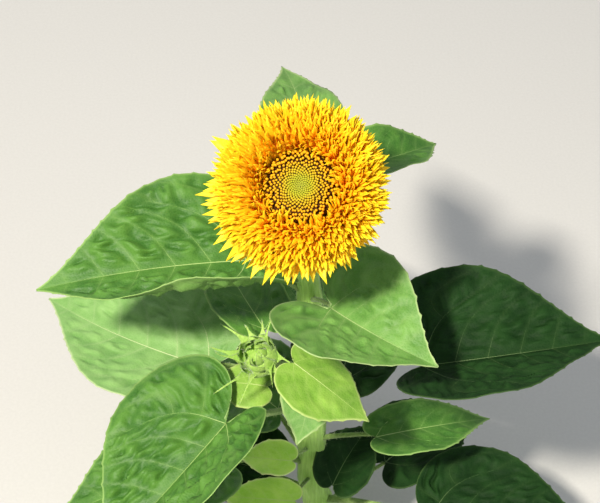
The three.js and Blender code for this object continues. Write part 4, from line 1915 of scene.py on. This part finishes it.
def finer_rows(rows: Sequence[StrapRow], ranks: int, spacing: float, width: float) -> list[StrapRow]:
    """More and closer rows of narrower straps between the source's rows, with the same reach.

    Args:
        rows: The source's rows.
        ranks: How many rows to make.
        spacing: Distance from strap to strap round a row, in mm, at the middle of the straps.
        width: Width of the straps as a share of the source's.

    Returns:
        The new rows.
    """
    share = np.linspace(0, 1, ranks)
    table = {key: blend([getattr(row, key) for row in rows], share)
             for key in ("radius", "height", "rise", "length", "width")}
    made = []
    for radius, height, rise, length, wide in zip(*table.values()):
        middle = radius + 0.5 * length * math.cos(math.radians(rise))
        count = round(2 * math.pi * middle / spacing)
        made.append(StrapRow(count, radius, height, rise, length, wide * width))
    return made


@dataclass(frozen=True)
class Disc:
    """The disc's florets: a spiral of small buds and tubes, closed in the middle and open outside.

    Its tables give a value in mm, or as a share, at shares of the disc's radius.

    Attributes:
        spacing: Distance between florets in mm, in the middle and at the rim.
        margin: How far the outermost florets stand inside the disc's radius, in mm.
        ground: Height of the florets' roots.
        tall: Height of the florets.
        stout: Radius of a floret as a share of the distance to its neighbours.
        lean: How far florets lean outwards, in radians.
        outline: A floret's radius at even steps from root to tip.
        uneven: How far heights stray in the middle, and how much more at the rim, as shares.
        loose: How far leans stray in the middle, and how much more at the rim, in radians.
    """

    spacing: tuple[float, float] = (1.15, 2.75)
    margin: float = 0.6
    ground: Pairs = ((0, 16.2), (0.4, 17.0), (0.8, 15.4), (1, 13.0))
    tall: Pairs = ((0, 1.6), (0.35, 2.0), (0.6, 3.4), (1, 5.2))
    stout: Pairs = ((0, 0.5), (0.4, 0.46), (0.65, 0.37), (1, 0.4))
    lean: Pairs = ((0, 0.0), (0.5, 0.1), (1, 0.25))
    outline: Sequence[float] = (0.7, 0.7, 0.8, 1.15, 0.55)
    uneven: tuple[float, float] = (0.1, 0.3)
    loose: tuple[float, float] = (0.06, 0.5)

    def spiral(self) -> tuple[Array, Array, Array]:
        """Lays the florets in a spiral that widens outwards.

        Returns:
            Each floret's distance from the axis, its turn, and the distance to its neighbours.
        """
        fine = np.linspace(0, DISC_RADIUS - self.margin, 400)
        gap = self.spacing[0] + (self.spacing[1] - self.spacing[0]) * fine / DISC_RADIUS
        crowd = 2 / math.sqrt(3) * 2 * math.pi * fine / gap**2
        total = np.concatenate([[0], np.cumsum((crowd[1:] + crowd[:-1]) / 2 * np.diff(fine))])
        number = np.arange(int(total[-1])) + 0.5
        radius = np.interp(number, total, fine)
        return radius, number * GOLDEN_ANGLE, np.interp(radius, fine, gap)

    def lay(self, template: Template, draw: Draw) -> tuple[Array, Array]:
        """Lays every floret round the upright axis.

        Args:
            template: The floret's template.
            draw: The source of random numbers.

        Returns:
            Places of shape (florets, n, 3) in mm, and marks of the same shape that hold the share
            from root to tip, the share from the middle to the rim, and 0.
        """
        radius, turn, gap = self.spiral()
        share = radius / DISC_RADIUS
        uneven = self.uneven[0] + self.uneven[1] * share**3
        tall = read_off(self.tall, share) * (1 + uneven * draw.uniform(-1, 1, len(share)))
        stout = (gap * read_off(self.stout, share))[:, None]
        outline = blend(self.outline, template.share)
        loose = self.loose[0] + self.loose[1] * share**2
        lean = read_off(self.lean, share) + loose * draw.uniform(-1, 1, len(share))
        local = np.stack([(template.across * outline)[None, :] * stout,
                          (template.through * outline)[None, :] * stout,
                          template.share[None, :] * tall[:, None]], axis=-1)
        local = np.einsum("nij,nkj->nki", axis_turns("Y", lean), local)
        feet = np.stack([radius, np.zeros_like(radius), read_off(self.ground, share)], axis=-1)
        places = np.einsum("nij,nkj->nki", axis_turns("Z", turn), local + feet[:, None, :])
        parts = (template.share, share[:, None], 0.0)
        return places, np.stack([np.broadcast_to(part, places.shape[:2]) for part in parts], axis=-1)


@dataclass
class Bloom:
    """The double flower: ring of rays, dome of small ray-like florets, disc and green cup.

    Attributes:
        head: Where the head stands.
        palette: The plant's finishes.
        draw: The source of random numbers.
        floret_rows: The source's rows of florets.
        ray_rows: The source's rows of rays.
        bract_rows: The source's rows of cup bracts.
        ranks: How many ranks of florets the dome shows.
        disc: How the disc's florets lie.
        plate: Radius and height pairs of the plate that carries the rays.
        mound: The same of the dome under the florets.
        bed: The same of the bed under the disc.
        bowl: The same of the cup.
    """

    head: Head
    palette: Palette
    draw: Draw
    floret_rows: Sequence[StrapRow] = (
        StrapRow(30, 43, 10.5, 8, 20, 9.4),
        StrapRow(28, 42, 14, 24, 19, 9),
        StrapRow(26, 38, 17, 38, 18, 8.4),
        StrapRow(22, 35, 18, 52, 16, 7),
        StrapRow(20, 30.5, 15, 72, 15, 6.6),
        StrapRow(20, 27, 9.5, 90, 15, 6.2),
    )
    ray_rows: Sequence[StrapRow] = (StrapRow(21, 38, 1.6, -2, 29, 11), StrapRow(21, 38, 2.6, 3, 27, 10))
    bract_rows: Sequence[StrapRow] = (StrapRow(15, 32, -8.5, 4, 23, 13), StrapRow(13, 24, -15, -6, 24, 13))
    ranks: int = 19
    disc: Disc = Disc()
    plate: Pairs = ((0.5, 0.3), (42, 0.3), (43.5, 2.5), (42, 4.7), (0.5, 4.7))
    mound: Pairs = ((25.6, 5.5), (44, 5.5), (45, 8), (41, 12), (36, 14), (31, 13), (28, 10), (25.8, 7),
                    (25.6, 5.5))
    bed: Pairs = ((0.3, 5.5), (24.8, 5.5), (24.8, 13.2), (20, 15.8), (10, 17.2), (0.3, 16.6))
    bowl: Pairs = ((0.5, -24), (9.5, -24), (14, -22), (23, -17), (33, -10), (37, -7), (41, -3),
                   (41.5, -0.4), (0.5, -0.4))

    def petals(self, name: str, template: Template, laid: tuple[Array, Array]) -> Piece:
        """Models laid-out petals in their place on the head as one mesh.

        Args:
            name: Name of the new object.
            template: The petal's template.
            laid: Places round the upright axis and marks, each of shape (petals, n, 3).

        Returns:
            The new object.
        """
        places, marks = laid
        piece = template.copies(name, self.head.place(places))
        mark(piece, "floret", marks)
        shade_smooth(piece)
        return piece

    def body(self, name: str, profile: Pairs, marks: Point, around: int = 72) -> Piece:
        """Models a solid body that carries petals.

        Args:
            name: Name of the new object.
            profile: Radius and height pairs from bottom to top.
            marks: Value of the floret attribute on it.
            around: Faces round the axis.

        Returns:
            The new object.
        """
        piece = lathe(name, profile, around, self.head.place)
        mark(piece, "floret", np.tile(marks, (len(piece.data.vertices), 1)))
        return piece

    def dress(self, parts: Sequence[Piece], finish: Material, slot: str, node: str) -> None:
        """Joins the parts of one piece, gives it its finish and fits it to the plant.

        Args:
            parts: The parts, the one that names the piece first.
            finish: The piece's finish.
            slot: Name of its material slot.
            node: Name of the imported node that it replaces.
        """
        whole = join(parts)
        whole.data.materials.append(finish)
        fit(whole, slot, [node])

    def build_rays(self) -> None:
        """Models the flat outer rays on the plate that carries them."""
        form = StrapForm(0.7, -0.1, 5, groove=0.1, outline=(0.5, 0.8, 0.97, 1, 0.9, 0.64, 0.3, 0.02),
                         twist=0.4, spread=0.16, screw=0.4, drift=0.14, shade=0.1, skew=0.24)
        template = Template.prism(8, 10)
        laid = lay_straps(finer_rows(self.ray_rows, 3, 9.5, 0.9), form, template, self.draw)
        rays = self.petals("outer_rays", template, laid)
        plate = self.body("ray_plate", self.plate, (0.3, 0, 0.4))
        self.dress([rays, plate], self.palette.ray, "ray", "bloom_rays")

    def build_florets(self) -> None:
        """Models the dome and its hundreds of narrow pointed florets."""
        form = StrapForm(0.5, 0.35, 7, groove=0.18, outline=(0.5, 0.8, 0.97, 1, 0.92, 0.7, 0.36, 0.04),
                         stray=0.08, twist=0.6, spread=0.2, screw=0.9, drift=0.16, swing=0.12,
                         bend_stray=1.3, shade=0.2, tuft=1.8, skew=0.05)
        template = Template.prism(4, 7)
        rows = finer_rows(self.floret_rows, self.ranks, 2.8, 0.54)
        laid = lay_straps(rows, form, template, self.draw)
        florets = self.petals("dome_florets", template, laid)
        # The dome under the florets wears the root's colour, painted shade of the gaps between them.
        mound = self.body("dome", self.mound, (0.0, 0.5, 0.5), 96)
        self.dress([florets, mound], self.palette.floret, "floret", "bloom_florets")

    def build_disc(self) -> None:
        """Models the disc's florets on their bed."""
        template = Template.prism(6, 4)
        florets = self.petals("disc_florets", template, self.disc.lay(template, self.draw))
        bed = self.body("disc_bed", self.bed, (0.0, 0.8, 0))
        self.dress([florets, bed], self.palette.disc, "disc", "bloom_disc")

    def build_cup(self) -> None:
        """Models the green cup and its pointed bracts."""
        form = StrapForm(1.0, -0.35, 5, groove=0.05, outline=(0.8, 1, 0.96, 0.78, 0.5, 0.24, 0.03),
                         twist=0.12)
        template = Template.prism(8, 12)
        laid = lay_straps(self.bract_rows, form, template, self.draw)
        bracts = self.petals("cup_bracts", template, laid)
        bowl = self.body("cup_bowl", self.bowl, (0.5, 0, 0))
        self.dress([bracts, bowl], self.palette.bract, "cup", "bloom_cup")

    def build(self) -> None:
        """Models the whole flower head, from the rays inwards and then the cup."""
        self.build_rays()
        self.build_florets()
        self.build_disc()
        self.build_cup()


LEAST_RADIUS = 0.3  # mm at both ends of the bud's body
BRACT_EDGE = 0.6  # a bract's vertices further across it than this are at its edges, where hairs stand
BRACT_RUFFLE = 1.2  # mm that the hairs' directions stray


@dataclass
class Bud:
    """The green side bud: broad bracts closed over a round body, the outer ones with long thin tails.

    Attributes:
        stem: The stem whose branch carries the bud.
        palette: The plant's finishes.
        tailed_rows: Rows of outer bracts, whose tails hang out as far as the source's bracts.
        closed_rows: Rows of bracts that close over the body.
        radius: Radius of the closed body in mm.
        height: Height of the closed body in mm.
        profile: Radius and height pairs of the body, as shares of its own.
    """

    stem: Stem
    palette: Palette
    tailed_rows: Sequence[StrapRow] = (
        StrapRow(6, 11.5, 2, 64, 29, 12.5),
        StrapRow(5, 11, 6, 76, 27, 11),
    )
    closed_rows: Sequence[StrapRow] = (
        StrapRow(8, 13, 2, 64, 22, 13),
        StrapRow(7, 11.5, 5, 74, 19, 12),
        StrapRow(6, 8, 10, 82, 15, 9.5),
    )
    radius: float = 13
    height: float = 17
    profile: Pairs = ((0, 0), (0.45, 0), (0.9, 0.2), (1, 0.42), (0.86, 0.75), (0, 0.96))

    def place(self, points: Array) -> Array:
        """Puts points of the upright bud, round the origin, on the end of its branch.

        Args:
            points: Points in mm.

        Returns:
            The placed points.
        """
        way = self.stem.branch_spine.along(np.array([0.998]))[0]
        turn = np.array(Vector((0, 0, 1)).rotation_difference(Vector(way)).to_matrix())
        return points @ turn.T + self.stem.branch_spine.points[-1] + way * GAP

    def build(self, draw: Draw) -> tuple[Array, Array]:
        """Models the bud.

        Args:
            draw: The source of random numbers.

        Returns:
            Roots and directions for the hairs on its bracts.
        """
        shape = [(max(out * self.radius, LEAST_RADIUS), up * self.height) for out, up in self.profile]
        body = lathe("bud_body", shape, 48, self.place)
        template = Template.prism(8, 12)
        tails = StrapForm(
            0.8, -1.8, 14, groove=0.1, stray=0.3, twist=0.2, spread=0.25, screw=1.2, drift=0.5,
            swing=0.3, skew=0.3, bend_stray=0.5,
            outline=(0.9, 1, 0.96, 0.8, 0.58, 0.36, 0.22, 0.15, 0.13, 0.12, 0.1, 0.08, 0.03),
        )
        cover = StrapForm(
            0.9, 0.95, 9, groove=0.12, stray=0.12, twist=0.2, spread=0.16, screw=0.5, drift=0.25,
            bend_stray=0.4, outline=(0.85, 1, 1, 0.92, 0.74, 0.56, 0.36, 0.18, 0.03),
        )
        rows = ((self.tailed_rows, tails), (self.closed_rows, cover))
        placed = self.place(np.concatenate([lay_straps(row, form, template, draw)[0] for row, form in rows]))
        whole = join([template.copies("bud_bracts", placed), body])
        whole.name = whole.data.name = "bud_head"
        shade_smooth(whole)
        whole.data.materials.append(self.palette.bud)
        fit(whole, "bud", ["bud"])
        edges = np.flatnonzero(np.abs(template.across) > BRACT_EDGE)
        pick = draw.integers(0, len(placed), BUD_HAIRS), edges[draw.integers(0, len(edges), BUD_HAIRS)]
        roots, middle = placed[pick], placed.mean(axis=1)[pick[0]]
        return roots, unit(roots - middle + draw.normal(0, BRACT_RUFFLE, roots.shape))


# Studio.

FLOOR_SIZE = 8  # m
FLOOR_DROP = 0.0005  # m that it lies below the plant's foot, so that the two don't share a plane
SENSOR_WIDTH = 36  # mm
NEAREST_SHOWN = 0.05  # m; the camera shows nothing nearer
WORLD_COLOUR = "#e8eef6"
WORLD_STRENGTH = 0.4
LIGHT_BOUNCES = 10  # light that has passed from petal to petal gives the bloom its depth


@dataclass(frozen=True)
class Lamp:
    """A square soft light.

    Attributes:
        name: Its name.
        place: Where it hangs, in metres.
        aim: The place that it shines at, in metres.
        size: Length of its side in metres.
        watts: Its power.
        colour: Its colour as sRGB hex.
    """

    name: str
    place: Point
    aim: Point
    size: float
    watts: float
    colour: str

    def hang(self) -> None:
        """Adds the light to the scene."""
        bpy.ops.object.select_all(action="DESELECT")
        bpy.ops.object.light_add(type="AREA", location=self.place)
        lamp = bpy.context.active_object
        lamp.name = self.name
        lamp.data.size = self.size
        lamp.data.energy = self.watts
        lamp.data.color = linear(self.colour)[:3]
        lamp.rotation_euler = (Vector(self.aim) - Vector(self.place)).to_track_quat("-Z", "Y").to_euler()


LAMPS = (
    Lamp("key_light", (-0.85, -1.3, 2.5), (0, 0, 0.35), 0.22, 114, "#fff8ec"),
    Lamp("fill_light", (1.8, -1.2, 1.5), (0, 0, 0.3), 2.0, 15, "#eef4ff"),
    Lamp("back_light", (-0.8, 2.2, 1.4), (0, 0, 0.35), 1.6, 10, "#ffffff"),
)


@dataclass(frozen=True)
class Studio:
    """A plain pale floor, soft light and the camera at the photograph's angle.

    Attributes:
        camera_mm: Place of the camera.
        pitch: How far it looks down, in degrees.
        lens: Its focal length in mm on a sensor 36 mm wide.
    """

    camera_mm: Point = (-28.3, -868.7, 1336.2)
    pitch: float = 47
    lens: float = 100

    def floor(self) -> None:
        """Lays the floor."""
        bpy.ops.object.select_all(action="DESELECT")
        bpy.ops.mesh.primitive_plane_add(size=FLOOR_SIZE, location=(0, 0, -FLOOR_DROP))
        plane = bpy.context.active_object
        plane.name = "floor"
        material, tree, place = new_material("matt_paper_floor")
        tooth = add_node(tree, "TexNoise", {"Vector": place, "Scale": 1 / 3, "Detail": 2.0})
        base = add_node(tree, "ValToRGB", {"Fac": tooth.outputs["Fac"]},
                        stops=[(0.3, "#cbc9c4"), (0.7, "#cfcdc8")])
        finish_surface(tree, base.outputs["Color"], tooth.outputs["Fac"], 0.05, 0.85)
        plane.data.materials.append(material)

    def camera(self) -> None:
        """Sets up the camera."""
        bpy.ops.object.select_all(action="DESELECT")
        bpy.ops.object.camera_add(location=[x * MM for x in self.camera_mm],
                                  rotation=(math.radians(90 - self.pitch), 0, 0))
        camera = bpy.context.active_object
        camera.name = "photo_camera"
        camera.data.lens = self.lens
        camera.data.sensor_width = SENSOR_WIDTH
        camera.data.clip_start = NEAREST_SHOWN
        bpy.context.scene.camera = camera

    def build(self) -> None:
        """Sets the whole studio up."""
        self.floor()
        for lamp in LAMPS:
            lamp.hang()
        world = bpy.data.worlds.new("soft_room")
        world.use_nodes = True
        background = world.node_tree.nodes["Background"]
        background.inputs["Color"].default_value = linear(WORLD_COLOUR)
        background.inputs["Strength"].default_value = WORLD_STRENGTH
        bpy.context.scene.world = world
        bpy.context.scene.view_settings.view_transform = "Standard"
        bpy.context.scene.cycles.diffuse_bounces = LIGHT_BOUNCES
        self.camera()


def main() -> None:
    """Builds the plant and the studio in order."""
    logging.basicConfig(level=logging.INFO, format="%(name)s: %(message)s")
    draw = np.random.default_rng(SEED)
    palette = Palette.mixed()
    stem = Stem()
    heights = [leaf.node for leaf in LEAVES if not leaf.on_branch]
    trunk, branch = stem.build(heights, palette)
    stalks = [LeafModel(leaf, stem, palette).build() for leaf in LEAVES]
    Bloom(stem.head, palette, draw).build()
    bud_roots, bud_ways = Bud(stem, palette).build(draw)
    hairs = Hairs()
    scattered = [hairs.on_limb(trunk, STEM_HAIRS, draw), hairs.on_limb(branch, BRANCH_HAIRS, draw)]
    scattered += [hairs.on_limb(stalk, STALK_HAIRS, draw) for stalk in stalks]
    roots = np.concatenate([pair[0] for pair in scattered] + [bud_roots])
    ways = np.concatenate([pair[1] for pair in scattered] + [bud_ways])
    fit(hairs.build("stem_hairs", roots, ways, draw, palette.hair), "stem")
    Studio().build()


if __name__ == "__main__":
    main()
